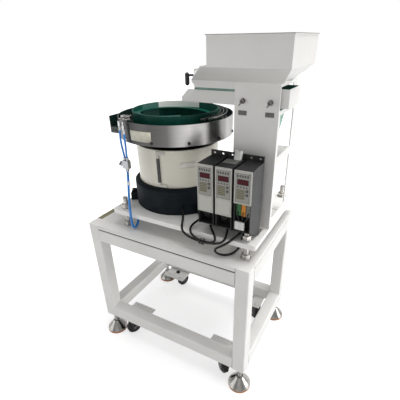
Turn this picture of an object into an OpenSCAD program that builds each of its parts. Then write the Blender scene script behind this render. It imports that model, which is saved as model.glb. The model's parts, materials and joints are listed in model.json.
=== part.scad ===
// Vibratory bowl feeder on a steel table: a bowl on its leaf spring drive, a storage
// hopper over a linear feeder in a sheet column, three control units, air jets,
// levelling feet and casters. Millimetres, +Z up. Places below are measured from the
// table's front left corner on the floor, and machine() moves them so that the origin
// is under the middle of the machine.

/* [Table] */
// Width of the table along X
table_w = 620; // [580:1:680]
// Depth of the table along Y
table_d = 430; // [410:1:480]
// Height of the table top above the floor
table_h = 525; // [460:1:620]
// Side of the square leg tube
tube = 45; // [40:1:50]
// Height of the rails
rail_h = 50; // [40:1:60]
// Wall of the tubes
tube_t = 3; // [2:0.5:4]
// Thickness of the table top plate
top_t = 14; // [10:1:20]
// Height of the leg ends above the floor
leg_clear = 92; // [86:1:120]

/* [Levelling feet] */
// Diameter of a foot
foot_d = 80; // [60:1:84]
// Height of the bell of a foot
foot_h = 44; // [34:1:50]
// Diameter of the threaded stem of a foot
stem_d = 16; // [12:1:20]

/* [Casters] */
// Diameter of a caster wheel
wheel_d = 60; // [50:1:62]
// Width of a caster wheel
wheel_w = 22; // [18:1:26]
// Gap under a caster wheel while the feet carry the machine
wheel_lift = 4; // [2:1:6]

/* [Base plate] */
// Width of the base plate
plate_w = 524; // [510:1:530]
// Depth of the base plate
plate_d = 384; // [374:1:400]
// Thickness of the base plate
plate_t = 16; // [12:1:20]
// Gap between the table top and the base plate
plate_gap = 49; // [40:1:60]
// Diameter of the threaded rods that carry the base plate
rod_d = 16; // [12:1:16]

/* [Bowl drive] */
// Bowl centre from the table's right edge
bowl_in = 370; // [360:1:380]
// Bowl centre from the table's front edge
bowl_y = 230; // [228:1:240]
// Diameter of the cast drive base
base_d = 310; // [300:1:316]
// Height of the cast drive base
base_h = 90; // [80:1:100]
// Step from the drive base's edge in to the drive cover
cover_step = 17; // [12:1:20]
// Height of the drive cover
cover_h = 122; // [110:1:140]
// Height of the spring head over the cover
head_h = 24; // [18:1:30]

/* [Bowl] */
// Outer diameter of the bowl ring
ring_d = 374; // [370:1:378]
// Height of the bowl ring
ring_h = 62; // [58:1:70]
// Outer diameter of the inner bowl
inner_d = 280; // [270:1:290]
// Height of the inner bowl's rim above the ring's rim
rim_rise = 15; // [10:1:20]
// Wall of the bowl
bowl_t = 3; // [2:0.5:4]
// Width of the spiral track
track_w = 22; // [16:1:26]
// Turns of the spiral track
track_turns = 1.75; // [1.25:0.25:2]

/* [Column] */
// Width of the column
col_w = 124; // [116:1:128]
// Depth of the column
col_d = 156; // [150:1:170]
// Height of the column above the base plate
col_h = 411; // [400:1:440]
// Column face from the table's front edge
col_y = 146; // [140:1:150]
// Sheet of the column
col_t = 3; // [2:0.5:4]
// Height of the feeder shelf above the base plate
shelf_h = 215; // [205:1:220]

/* [Hopper] */
// Width of the hopper box
hopper_w = 195; // [170:1:200]
// Depth of the hopper box
hopper_d = 206; // [190:1:220]
// Height of the hopper box
hopper_h = 65; // [50:1:120]
// Height of the slanted funnel
funnel_h = 43; // [36:1:60]
// Sheet of the hopper
hopper_t = 2; // [1.5:0.5:3]
// Width of the funnel's mouth
mouth_w = 260; // [240:1:264]

/* [Trough] */
// Width of the trough
trough_w = 100; // [90:1:104]
// Height of the trough's walls
trough_h = 34; // [28:1:38]
// Sheet of the trough
trough_t = 3; // [2:0.5:4]

/* [Control units] */
// Width of a control unit
unit_w = 48; // [44:1:50]
// Spacing of the control units
unit_pitch = 55; // [53:1:56]
// Depth of a control unit
unit_d = 86; // [76:1:88]
// Height of a control unit's case
unit_h = 178; // [170:1:190]

/* [Hidden] */
$fn = 64;

// Clearance round a running stem, rod, pin or shaft
run_gap = 0.05;
// Gap between parts that move past each other
part_gap = 0.3;
// How far a cut runs past a face
cut = 1;

// Heights of the main faces above the floor
plate_low = table_h + plate_gap;
plate_top = plate_low + plate_t;
cover_low = plate_top + base_h;
head_gap = 2;
head_low = cover_low + cover_h + head_gap;
ring_low = head_low + head_h;
ring_top = ring_low + ring_h;
rim_top = ring_top + rim_rise;
shelf_top = plate_top + shelf_h;
col_top = plate_top + col_h;

// The bowl's axis, the drive's cover and its head
bowl_x = table_w - bowl_in;
cover_d = base_d - 2 * cover_step;
head_step = 13;
head_d = cover_d - 2 * head_step;

// The middle of the whole machine, over the feet and under the hopper
hopper_overhang = 56;
hopper_right = table_w + hopper_overhang;
machine_left = tube / 2 - foot_d / 2;
hem_t = 2;
machine_x = (machine_left + hopper_right + hem_t) / 2;
machine_y = table_d / 2;

// Table details
tube_r = 5;
top_groove_w = 2;
top_groove_d = 2;
top_strip_w = 22;
seam_h = 3;
seam_in = 6;
leg_foot_t = 10;
rails_top = table_h - top_t - seam_h;

// Foot details
foot_rim_h = 10;
foot_neck_d = stem_d + 10;
stem_up = 60;
nut_h = 10;
nut_d = stem_d * 1.7;

// Caster details
caster_plate_w = 104;
caster_plate_d = 88;
caster_plate_t = 6;
caster_in = 66;
caster_lap = 25;
caster_x = caster_in + caster_plate_w / 2;
caster_y = tube - caster_lap + caster_plate_d / 2;
caster_low = leg_clear - caster_plate_t;
caster_turns = [65, 137, -105, 150];
race_d = 46;
race_h = 8;
fork_t = 3;
fork_gap = 1.5;
king_d = 10;
king_head_d = 18;
king_head_t = 4;
axle_d = 8;
caster_trail = 30;
fork_top_t = 4;
plate_hole_d = 8;
plate_hole_in = 14;
plate_hole_side = 22;

// Base plate details
plate_right = table_w;
plate_left = plate_right - plate_w;
plate_front = 37;
plate_r = 8;
rod_in_x = 38;
rod_in_y = 26;
rod_up = 40;
rod_nut_h = 13;
rod_nut_d = rod_d * 1.75;
washer_t = 2;
washer_d = rod_d * 2;

// Drive details
base_chamfer = 8;
base_lip = 12;
lug_w = 44;
lug_h = 26;
lug_out = 22;
lug_nut_d = 18;
lug_nut_t = 9;
cover_t = 2;
cover_lip = 8;
strip_t = 5;
strip_end = 12;
clip_h = 9;
clip_t = 4;
spring_in = 46;
spring_r = cover_d / 2 - spring_in;
spring_w = 40;
spring_t = 8;
spring_tilt = 15;
clamp_h = 26;
clamp_t = 14;
coil_w = 70;
coil_d = 56;
coil_h = 70;
pole_h = 14;
magnet_gap = 2;
head_rim = 10;

// Bowl details
bowl_floor_t = 4;
cone_rise = 10;
lining_t = 2;
outer_track_low = ring_low + 24;
outer_track_t = 4;
track_t = 3;
track_low = ring_low + 11;
track_high = rim_top - track_t - 2;
track_steps = 84;
track_from = 40;
track_fit = 0.1;
bolt_d = 16;
bolt_cap_d = 44;
bolt_cap_h = 12;
bolt_in = 14;
strip_band = 2;
strip_band_h = 16;
chute_w = 34;
chute_t = 3;
chute_front = bowl_y - ring_d / 2 * 0.6;
chute_left = bowl_x - ring_d / 2 - 1;
chute_low = ring_low + 2;
chute_h = ring_h - 8;
chute_floor_h = 20;
window_h = 26;
chute_hole_d = 5;
chute_hole_in = 10;
jet_d = 4;
hose_d = 6;
supply_d = 8;

// Column details
col_right = table_w;
col_left = col_right - col_w;
col_flange = 22;
window_in = 16;
window_bar = 18;
trough_play = 6;
col_sill = 30;

// Hopper details
hopper_left = hopper_right - hopper_w;
hopper_front = 20;
funnel_top = plate_top + col_h + funnel_h;
hopper_top = funnel_top + hopper_h;
hood_step = 17;
mouth_d = 70;
mouth_right = col_right + 4;
mouth_left = mouth_right - mouth_w;
neck_back = col_y + mouth_d;
neck_clear = 3;
hem = 2;
apron_h = 18;
apron_cut = 13;

// Trough details
trough_front = col_y + 12;
trough_mid = trough_front + trough_w / 2;
trough_low = shelf_top + 136;
trough_right = table_w + 20;
trough_left = bowl_x + 72;
trough_nose = 16;
trough_back_rise = 12;
trough_back_l = 64;
skirt_t = 2;
skirt_gap = 1;
skirt_low = 6;
skirt_h = 14;
neck_front = trough_front + trough_t + skirt_gap + skirt_t;
neck_mid = (neck_front + neck_back) / 2;

// Gate and clamp lever
gate_w = 54;
gate_y = neck_mid - gate_w / 2;
gate_t = 2;
gate_low = 22;
gate_travel = 14;
gate_slot_w = 7;
gate_above = 26;
lever_shaft_d = 6;
lever_shaft_z = 7.5;
lever_rod_l = 38;
grip_d = 13;
grip_down = 22;
grip_up = 1;
guide_t = 3;
guide_h = 22;

// Linear feeder
feeder_l = 68;
feeder_w = 84;
feeder_base_h = 48;
feeder_head_h = 40;
feeder_lean = 12;
feeder_spring_t = 5;
feeder_fit = 0.02;
feeder_coil_l = 30;
feeder_coil_h = 26;

// Toggle switches
toggle_h = 365;
toggle_in = 24;
toggle_nut_d = 16;
toggle_nut_t = 3;
toggle_bush_d = 12;
toggle_bush_l = 9;
toggle_ball_d = 8;
toggle_arm_d = 3.4;
toggle_arm_l = 22;
toggle_pin_d = 2;
toggle_back_w = 14;
toggle_back_l = 6;
toggle_lean = 18;
label_w = 24;
label_h = 12;
label_t = 1;
label_drop = 36;

// Control units
unit_back = col_y - 38;
unit_front = unit_back - unit_d;
unit_low = plate_top + 43;
unit_x = col_right - 174;
unit_wall = 2;
wing_foot = 8;
unit_tab_h = 15;
unit_tab_t = 2.5;
unit_hole_d = 6;
unit_hole_in = 11;
unit_slot = 8;
bracket_t = 3;
bracket_foot = 26;
panel_t = 3;
panel_in = 1.5;
short_panel_h = 92;
long_panel_h = 138;
recess_h = 84;
recess_d = 30;
recess_wall = 2;
window_w = 30;
window_z = 60;
unit_window_h = 14;
unit_window_d = 1.2;
terminal_w = 12;
terminal_d = 16;
terminal_h = 36;
terminal_low = 8;
terminal_step = 14;
screw_d = 4;
screw_depth = 1.5;
key_w = 6;
key_out = 1.2;
key_in = 2;
key_gap = 0.25;
key_x = 33;
key_drop = 56;
key_step = 11;
gland_d = 14;
gland_in = 10;
lead_d = 7;
base_gland_l = 20;
base_gland_z = 35;
gland_angles = [-55, -35];

// Routes of the cords: points across, back and up from the table top, laid on a table this wide
routes_w = 620;
lead_1 = [
    [462, 66, 98], [462, 66, 90], [470, 52, 83], [486, 38, 74], [499, 27, 63],
    [496, 21, 52], [474, 20, 47], [446, 20, 48], [420, 22, 58], [408, 34, 72],
    [412, 56, 80], [421, 78, 85], [424, 98, 91], [413, 114, 97], [394, 129, 100]
];
lead_2 = [
    [520, 66, 98], [520, 66, 90], [525, 52, 83], [529, 37, 73], [524, 27, 60],
    [508, 26, 49], [484, 26, 42], [456, 26, 39], [428, 26, 41], [402, 24, 49],
    [386, 24, 62], [381, 32, 76], [375, 50, 88], [363, 68, 97], [351, 86, 100]
];
lead_3 = [
    [572, 80, 98], [572, 80, 90], [564, 67, 82], [558, 50, 77], [551, 37, 72],
    [541, 27, 62], [526, 19, 51], [509, 17, 40], [500, 19, 28], [506, 24, 15],
    [522, 35, 7], [538, 54, 4], [546, 82, 4], [542, 116, 4], [544, 150, 8],
    [553, 180, 19], [556, 192, 30], [556, 192, 39]
];
jet_hose_1 = [
    [172, 44, 352], [172, 43, 340], [170, 42, 315], [171, 43, 290], [173, 45, 268],
    [173, 46, 256]
];
jet_hose_2 = [
    [187, 43, 342], [187, 42, 330], [188, 41, 310], [187, 42, 290], [183, 45, 268],
    [183, 46, 256]
];
supply_route = [
    [178, 46, 212], [178, 45, 200], [179, 40, 165], [181, 32, 125], [183, 27, 90],
    [184, 25.5, 60], [183.5, 26, 42], [182, 30, 24], [179, 39, 10.5], [175, 54, 4.3],
    [171, 69, 10.5], [168, 80, 24], [166, 84, 36], [166, 84, 41]
];
valve_left = 72;
valve_x = bowl_x - valve_left;
valve_y = 46;
valve_z = 234;

function legs_x() = [tube / 2, table_w - tube / 2];
function legs_y() = [tube / 2, table_d - tube / 2];
function casters_x() = [caster_x, table_w - caster_x];
function casters_y() = [caster_y, table_d - caster_y];
function unit_left(i) = unit_x + i * unit_pitch;
function toggles_x() = [col_left + toggle_in, col_right - toggle_in];
function laid(route) = [for (p = route) [p.x + table_w - routes_w, p.y, p.z + table_h]];
function last(route) = laid(route)[len(route) - 1];

// Moves the machine so that the origin is on the floor under its middle
module machine() {
    translate([-machine_x, -machine_y, 0]) children();
}

module block(at, size) {
    translate(at) cube(size);
}

// A disc or a post standing on a point
module post(at, d, h) {
    translate(at) cylinder(d = d, h = h);
}

// A round bar along X or Y from a point
module bar_x(at, d, l) {
    translate(at) rotate([0, 90, 0]) cylinder(d = d, h = l);
}

module bar_y(at, d, l) {
    translate(at) rotate([-90, 0, 0]) cylinder(d = d, h = l);
}

// A rectangle with round corners, from its lower left corner
module round_rect(w, d, r) {
    translate([r, 0]) square([w - 2 * r, d]);
    translate([0, r]) square([w, d - 2 * r]);
    for (x = [r, w - r]) {
        for (y = [r, d - r]) {
            translate([x, y]) circle(r = r);
        }
    }
}

// A square tube profile
module tube_profile(w, h) {
    difference() {
        round_rect(w, h, tube_r);
        translate([tube_t, tube_t]) square([w - 2 * tube_t, h - 2 * tube_t]);
    }
}

module hex(d, h) {
    cylinder(d = d, h = h, $fn = 6);
}

// Points of one ring of a swept tube
function ring_points(c, dir, up, r, n) =
    let (u = up - dir * (up * dir), a = u / norm(u), b = cross(dir, a))
    [for (k = [0:n - 1]) c + r * (a * cos(360 * k / n) + b * sin(360 * k / n))];

function unit_vector(v) = v / norm(v);

// The direction of a route at one of its points
function heading(path, i) =
    i == 0 ? unit_vector(path[1] - path[0])
    : i == len(path) - 1 ? unit_vector(path[i] - path[i - 1])
    : unit_vector(unit_vector(path[i + 1] - path[i]) + unit_vector(path[i] - path[i - 1]));

// The side vector of a ring, carried along the route so that the tube never twists
function carry(path, i) =
    i == 0 ? (abs(heading(path, 0).x) < 0.9 ? [1, 0, 0] : [0, 1, 0])
    : let (p = carry(path, i - 1), h = heading(path, i), q = p - h * (p * h)) q / norm(q);

// A round tube swept along a route
module swept(path, d, n = 8) {
    m = len(path);
    rings = [for (i = [0:m - 1]) each ring_points(path[i], heading(path, i), carry(path, i), d / 2, n)];
    sides = [
        for (i = [0:m - 2])
            for (k = [0:n - 1])
                let (q = (k + 1) % n, a = i * n + k, b = i * n + q, c = (i + 1) * n + q, e = (i + 1) * n + k)
                each [[a, b, c], [a, c, e]]
    ];
    caps = [
        for (k = [1:n - 2]) [0, k + 1, k],
        for (k = [1:n - 2]) [(m - 1) * n, (m - 1) * n + k, (m - 1) * n + k + 1]
    ];
    polyhedron(points = rings, faces = [for (f = concat(sides, caps)) [f[0], f[2], f[1]]]);
}

// Table

module leg(x, y) {
    translate([x - tube / 2, y - tube / 2, leg_clear]) difference() {
        union() {
            linear_extrude(table_h - leg_clear) tube_profile(tube, tube);
            linear_extrude(leg_foot_t) round_rect(tube, tube, tube_r);
            translate([0, 0, table_h - leg_clear - tube_t]) linear_extrude(tube_t)
                round_rect(tube, tube, tube_r);
        }
        translate([tube / 2, tube / 2, -cut])
            cylinder(r = stem_d / 2 + run_gap, h = leg_foot_t + 2 * cut);
    }
}

module table_legs() {
    color("whitesmoke") machine() for (x = legs_x()) for (y = legs_y()) leg(x, y);
}

// A rail along X whose top is at a height
module rail_x(y, top) {
    translate([tube, y, top - rail_h]) rotate([90, 0, 90])
        linear_extrude(table_w - 2 * tube) tube_profile(tube, rail_h);
}

module rail_y(x, top) {
    translate([x, table_d - tube, top - rail_h]) rotate([90, 0, 0])
        linear_extrude(table_d - 2 * tube) tube_profile(tube, rail_h);
}

module table_rails() {
    color("whitesmoke") machine() for (top = [rails_top, leg_clear + rail_h]) {
        for (y = [0, table_d - tube]) rail_x(y, top);
        for (x = [0, table_w - tube]) rail_y(x, top);
    }
}

module table_top() {
    color("gainsboro") machine() difference() {
        union() {
            block([0, 0, table_h - top_t], [table_w, table_d, top_t]);
            block([seam_in, seam_in, rails_top],
                [table_w - 2 * seam_in, table_d - 2 * seam_in, seam_h + top_t / 2]);
        }
        for (x = [-cut, table_w - tube]) {
            for (y = [-cut, table_d - tube]) {
                block([x, y, rails_top - cut], [tube + cut, tube + cut, top_t + seam_h + 2 * cut]);
            }
        }
        for (x = [top_strip_w, table_w - top_strip_w - top_groove_w]) {
            block([x, -cut, table_h - top_groove_d],
                [top_groove_w, table_d + 2 * cut, top_groove_d + cut]);
        }
    }
}

// Levelling feet

module foot_profile() {
    polygon(concat(
        [[0, 0], [foot_d / 2 - 2 * run_gap, 0], [foot_d / 2, foot_rim_h * 0.3],
            [foot_d / 2, foot_rim_h]],
        [for (k = [1:5]) let (t = k / 6)
            [foot_neck_d / 2 + (foot_d / 2 - foot_neck_d / 2) * pow(1 - t, 1.15),
                foot_rim_h + (foot_h - foot_rim_h) * pow(t, 0.8)]],
        [[foot_neck_d / 2, foot_h], [stem_d / 2, foot_h], [stem_d / 2, leg_clear + stem_up],
            [0, leg_clear + stem_up]]
    ));
}

module foot(x, y) {
    translate([x, y, 0]) {
        rotate_extrude() foot_profile();
        translate([0, 0, leg_clear - nut_h - part_gap]) hex(nut_d, nut_h);
    }
}

module foot_front_left() {
    color("silver") machine() foot(legs_x()[0], legs_y()[0]);
}

module foot_front_right() {
    color("silver") machine() foot(legs_x()[1], legs_y()[0]);
}

module foot_back_left() {
    color("silver") machine() foot(legs_x()[0], legs_y()[1]);
}

module foot_back_right() {
    color("silver") machine() foot(legs_x()[1], legs_y()[1]);
}

// Casters, held clear of the floor by the feet

module caster_plate(x, y) {
    translate([x, y, caster_low]) difference() {
        union() {
            translate([-caster_plate_w / 2, -caster_plate_d / 2, 0])
                cube([caster_plate_w, caster_plate_d, caster_plate_t]);
            translate([0, 0, -race_h]) cylinder(d = race_d, h = race_h);
        }
        translate([0, 0, -race_h - cut])
            cylinder(r = king_d / 2 + run_gap, h = race_h + caster_plate_t + 2 * cut);
        for (u = [-1, 1]) {
            for (v = [-1, 1]) {
                translate([u * (caster_plate_w / 2 - plate_hole_side),
                    v * (caster_plate_d / 2 - plate_hole_in), -cut])
                    cylinder(d = plate_hole_d, h = caster_plate_t + 2 * cut);
            }
        }
    }
}

module caster_plates() {
    color("whitesmoke") machine() for (x = casters_x()) for (y = casters_y()) caster_plate(x, y);
}

// The height of a wheel's axle
axle_z = wheel_lift + wheel_d / 2;
fork_top = caster_low - race_h - part_gap;

module fork_side() {
    difference() {
        union() {
            circle(d = wheel_d * 0.6);
            polygon([
                [-wheel_d * 0.3, 0], [wheel_d * 0.3, 0],
                [king_head_d + caster_trail, fork_top - axle_z - fork_top_t],
                [king_head_d + caster_trail, fork_top - axle_z],
                [-wheel_d * 0.3, fork_top - axle_z]
            ]);
        }
        circle(d = axle_d);
    }
}

module fork(x, y, turn) {
    w = wheel_w + 2 * fork_gap + 2 * fork_t;
    translate([x, y, 0]) rotate([0, 0, turn]) {
        for (s = [-w / 2 + fork_t, w / 2]) {
            translate([-caster_trail, s, axle_z]) rotate([90, 0, 0])
                linear_extrude(fork_t) fork_side();
        }
        translate([-caster_trail - wheel_d * 0.3, -w / 2, fork_top - fork_top_t])
            cube([caster_trail + wheel_d * 0.3 + king_head_d, w, fork_top_t]);
        post([0, 0, fork_top - fork_top_t], king_d, caster_low + caster_plate_t - fork_top + fork_top_t
            + part_gap);
        post([0, 0, caster_low + caster_plate_t + part_gap], king_head_d, king_head_t);
        translate([-caster_trail, w / 2 + fork_t / 2, axle_z]) rotate([90, 0, 0])
            cylinder(d = axle_d, h = w + fork_t);
    }
}

module fork_front_left() {
    color("dimgray") machine() fork(casters_x()[0], casters_y()[0], caster_turns[0]);
}

module fork_front_right() {
    color("dimgray") machine() fork(casters_x()[1], casters_y()[0], caster_turns[1]);
}

module fork_back_left() {
    color("dimgray") machine() fork(casters_x()[0], casters_y()[1], caster_turns[2]);
}

module fork_back_right() {
    color("dimgray") machine() fork(casters_x()[1], casters_y()[1], caster_turns[3]);
}

module wheel(x, y, turn) {
    tread = wheel_w * 0.18;
    hub_in = wheel_w * 0.12;
    translate([x, y, 0]) rotate([0, 0, turn])
        translate([-caster_trail, wheel_w / 2, axle_z]) rotate([90, 0, 0])
        rotate_extrude() polygon([
            [axle_d / 2 + run_gap, 0], [axle_d * 1.1, 0], [axle_d * 1.1, hub_in],
            [wheel_d * 0.36, hub_in], [wheel_d * 0.36, 0], [wheel_d / 2 - tread, 0],
            [wheel_d / 2, tread], [wheel_d / 2, wheel_w - tread],
            [wheel_d / 2 - tread, wheel_w], [wheel_d * 0.36, wheel_w],
            [wheel_d * 0.36, wheel_w - hub_in], [axle_d * 1.1, wheel_w - hub_in],
            [axle_d * 1.1, wheel_w], [axle_d / 2 + run_gap, wheel_w]
        ]);
}

module wheel_front_left() {
    color("black") machine() wheel(casters_x()[0], casters_y()[0], caster_turns[0]);
}

module wheel_front_right() {
    color("black") machine() wheel(casters_x()[1], casters_y()[0], caster_turns[1]);
}

module wheel_back_left() {
    color("black") machine() wheel(casters_x()[0], casters_y()[1], caster_turns[2]);
}

module wheel_back_right() {
    color("black") machine() wheel(casters_x()[1], casters_y()[1], caster_turns[3]);
}

// Base plate on its four threaded rods

function rods_x() = [plate_left + rod_in_x, plate_right - rod_in_x];
function rods_y() = [plate_front + rod_in_y, plate_front + plate_d - rod_in_y];

module base_plate() {
    color("gainsboro") machine() difference() {
        translate([plate_left, plate_front, plate_low]) linear_extrude(plate_t)
            round_rect(plate_w, plate_d, plate_r);
        for (x = rods_x()) {
            for (y = rods_y()) {
                post([x, y, plate_low - cut], rod_d + 2 * run_gap, plate_t + 2 * cut);
            }
        }
    }
}

module plate_rod(x, y) {
    translate([x, y, table_h]) {
        cylinder(d = rod_d, h = plate_gap + plate_t + rod_up);
        cylinder(d = washer_d, h = washer_t);
        hex(rod_nut_d, washer_t + rod_nut_h);
        translate([0, 0, plate_gap - rod_nut_h]) hex(rod_nut_d, rod_nut_h);
        translate([0, 0, plate_gap + plate_t]) {
            cylinder(d = washer_d, h = washer_t);
            hex(rod_nut_d, washer_t + rod_nut_h);
        }
    }
}

module plate_rods() {
    color("silver") machine() for (x = rods_x()) for (y = rods_y()) plate_rod(x, y);
}

// Bowl drive

// Places its children at an angle round the bowl's axis
module round_bowl(angle) {
    translate([bowl_x, bowl_y, 0]) rotate([0, 0, angle]) children();
}

// A clamp block for a leaf spring, leaning with the spring about the middle height
module spring_slab(t, low, high) {
    mid = (cover_low + head_low) / 2;
    translate([spring_r - spring_w / 2, 0, mid]) rotate([spring_tilt, 0, 0])
        translate([0, -t / 2, low - mid]) cube([spring_w, t, high - low]);
}

module drive_base() {
    color("darkslategray") machine() {
        translate([bowl_x, bowl_y, plate_top]) rotate_extrude() polygon([
            [0, 0], [base_d / 2, 0], [base_d / 2, base_h - base_chamfer],
            [base_d / 2 - base_chamfer, base_h], [cover_d / 2 + part_gap, base_h],
            [cover_d / 2 + part_gap, base_h - base_lip],
            [cover_d / 2 - cover_t - part_gap, base_h - base_lip],
            [cover_d / 2 - cover_t - part_gap, base_h], [0, base_h]
        ]);
        for (a = [0, 90, 180, 270]) {
            round_bowl(a) intersection() {
                spring_slab(clamp_t + spring_t, cover_low - clamp_h, cover_low + clamp_h);
                block([0, -spring_w, cover_low - clamp_h / 2], [cover_d, 2 * spring_w, clamp_h * 2]);
            }
        }
        for (a = [211, 331, 91]) {
            round_bowl(a) {
                block([base_d / 2 - lug_out, -lug_w / 2, plate_top], [2 * lug_out, lug_w, lug_h]);
                translate([base_d / 2 + lug_out / 2, 0, plate_top + lug_h]) hex(lug_nut_d, lug_nut_t);
            }
        }
        for (a = gland_angles) {
            round_bowl(a) bar_x([base_d / 2 - gland_in, 0, plate_top + base_gland_z], gland_d,
                gland_in + base_gland_l);
        }
    }
}

module magnet_coil() {
    color("sienna") machine() translate([bowl_x, bowl_y, cover_low]) {
        translate([-coil_w / 2, -coil_d / 2, 0]) cube([coil_w, coil_d, coil_h]);
        for (s = [-1, 0, 1]) {
            translate([s * coil_w * 0.36 - coil_w * 0.1, -coil_d * 0.3, coil_h])
                cube([coil_w * 0.2, coil_d * 0.6, pole_h]);
        }
    }
}

// Four leaning springs between the clamps of the base and of the head
module leaf_springs() {
    color("lightsteelblue") machine() for (a = [0, 90, 180, 270]) {
        round_bowl(a) spring_slab(spring_t, cover_low + clamp_h, head_low - clamp_h);
    }
}

module drive_cover() {
    color("ivory") machine() translate([bowl_x, bowl_y, cover_low - base_lip])
        rotate_extrude() polygon([
            [cover_d / 2 - cover_t, 0], [cover_d / 2, 0],
            [cover_d / 2, cover_h + base_lip],
            [cover_d / 2 - cover_lip, cover_h + base_lip],
            [cover_d / 2 - cover_lip, cover_h + base_lip - cover_t],
            [cover_d / 2 - cover_t, cover_h + base_lip - cover_t]
        ]);
}

strip_turn = -86;
strip_sweep = 3.6;
clip_sweep = 12;

// The joint strip of the cover's sheet, with a clip at each end
module cover_strip() {
    clip_z = [cover_low + strip_end / 4, cover_low + cover_h - strip_end];
    color("black") machine() {
        arc_strip(cover_d / 2, strip_t, clip_z[1] - clip_z[0] - clip_h, clip_z[0] + clip_h,
            strip_turn + strip_sweep / 4, strip_sweep);
        for (z = clip_z) arc_strip(cover_d / 2, clip_t, clip_h, z, strip_turn, clip_sweep);
    }
}

module spring_head() {
    color("black") machine() {
        translate([bowl_x, bowl_y, head_low]) rotate_extrude() polygon([
            [0, 0], [head_d / 2 - head_rim, 0], [head_d / 2, head_rim], [head_d / 2, head_h],
            [bolt_d / 2 + run_gap, head_h], [bolt_d / 2 + run_gap, head_h - bolt_in],
            [0, head_h - bolt_in]
        ]);
        for (a = [0, 90, 180, 270]) {
            round_bowl(a) intersection() {
                spring_slab(clamp_t + spring_t, head_low - clamp_h, head_low + clamp_h);
                block([0, -spring_w, head_low - clamp_h], [cover_d, 2 * spring_w, clamp_h * 1.5]);
            }
        }
        translate([bowl_x - coil_w / 2, bowl_y - coil_d / 2,
            cover_low + coil_h + pole_h + magnet_gap])
            cube([coil_w, coil_d, head_low + head_rim - cover_low - coil_h - pole_h - magnet_gap]);
    }
}

// Bowl

module bowl_ring() {
    ring_r = ring_d / 2;
    color("silver") machine() difference() {
        translate([bowl_x, bowl_y, ring_low]) rotate_extrude() polygon([
            [head_d / 2 - head_rim, 0], [ring_r, 0], [ring_r, ring_h],
            [ring_r - bowl_t, ring_h], [ring_r - bowl_t, bowl_floor_t],
            [head_d / 2 - head_rim, bowl_floor_t]
        ]);
        block([chute_left - chute_w, chute_front + chute_t, chute_low + chute_floor_h],
            [ring_r * 0.5, bowl_y - chute_front - chute_w, window_h]);
    }
}

module inner_bowl() {
    r = inner_d / 2;
    color("seagreen") machine() translate([bowl_x, bowl_y, ring_low + bowl_floor_t])
        rotate_extrude() polygon([
            [bolt_d / 2 + run_gap, cone_rise], [bolt_cap_d / 2, cone_rise], [r - bowl_t, 0], [r, 0],
            [r, rim_top - ring_low - bowl_floor_t],
            [r - bowl_t, rim_top - ring_low - bowl_floor_t], [r - bowl_t, bowl_t + lining_t],
            [bolt_cap_d / 2, bowl_t + lining_t + cone_rise],
            [bolt_d / 2 + run_gap, bowl_t + lining_t + cone_rise]
        ]);
}

// A ramp that climbs the inner bowl's wall up to its rim, where the parts drop on the outer track
module spiral_track() {
    r_out = inner_d / 2 - bowl_t - track_fit;
    r_in = r_out - track_w;
    n = track_steps;
    pts = [
        for (i = [0:n])
            let (a = track_from + 360 * track_turns * i / n, z = track_low + (track_high - track_low) * i / n)
            each [
                [r_in * cos(a), r_in * sin(a), z + track_t * 0.4],
                [r_out * cos(a), r_out * sin(a), z],
                [r_out * cos(a), r_out * sin(a), z + track_t],
                [r_in * cos(a), r_in * sin(a), z + track_t * 1.4]
            ]
    ];
    sides = [
        for (i = [0:n - 1])
            for (k = [0:3])
                let (q = (k + 1) % 4, a = 4 * i + k, b = 4 * i + q)
                each [[a, b, b + 4], [a, b + 4, a + 4]]
    ];
    caps = [[0, 2, 1], [0, 3, 2], [4 * n, 4 * n + 1, 4 * n + 2], [4 * n, 4 * n + 2, 4 * n + 3]];
    color("darkgreen") machine() translate([bowl_x, bowl_y, 0])
        polyhedron(points = pts, faces = concat(sides, caps));
}

// The lined shelf between the inner bowl and the ring
module outer_track() {
    r_in = inner_d / 2;
    r_out = ring_d / 2 - bowl_t;
    color("dimgray") machine() translate([bowl_x, bowl_y, 0]) rotate_extrude() polygon([
        [r_in, ring_low + bowl_floor_t], [r_in + bowl_t, ring_low + bowl_floor_t],
        [r_in + bowl_t, outer_track_low], [r_out, outer_track_low], [r_out, strip_base],
        [r_in, strip_base]
    ]);
}

module arc_strip(r, t, h, z, from, sweep) {
    translate([bowl_x, bowl_y, z]) rotate([0, 0, from]) rotate_extrude(angle = sweep)
        translate([r, 0]) square([t, h]);
}

strip_base = outer_track_low + outer_track_t;

module sorting_strips() {
    gap = (ring_d - inner_d) / 2 - bowl_t;
    color("silver") machine() {
        arc_strip(inner_d / 2 + gap * 0.3, strip_band, strip_band_h, strip_base, -30, 92);
        arc_strip(inner_d / 2 + gap * 0.6, strip_band, strip_band_h, strip_base, -18, 60);
        arc_strip(inner_d / 2 + gap * 0.5, strip_band, strip_band_h, strip_base, 150, 44);
        for (a = [-26, 10, 56]) {
            round_bowl(a) block([inner_d / 2 + gap * 0.15, -strip_band_h / 2, strip_base],
                [gap * 0.75, strip_band_h, strip_band]);
        }
    }
}

module bowl_bolt() {
    grip = bowl_floor_t + cone_rise + bowl_t + lining_t;
    color("silver") machine() translate([bowl_x, bowl_y, ring_low]) {
        post([0, 0, -bolt_in], bolt_d, bolt_in + grip);
        post([0, 0, grip], bolt_cap_d, bolt_cap_h / 3);
        translate([0, 0, grip]) hex(bolt_cap_d * 0.6, bolt_cap_h);
    }
}

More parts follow.
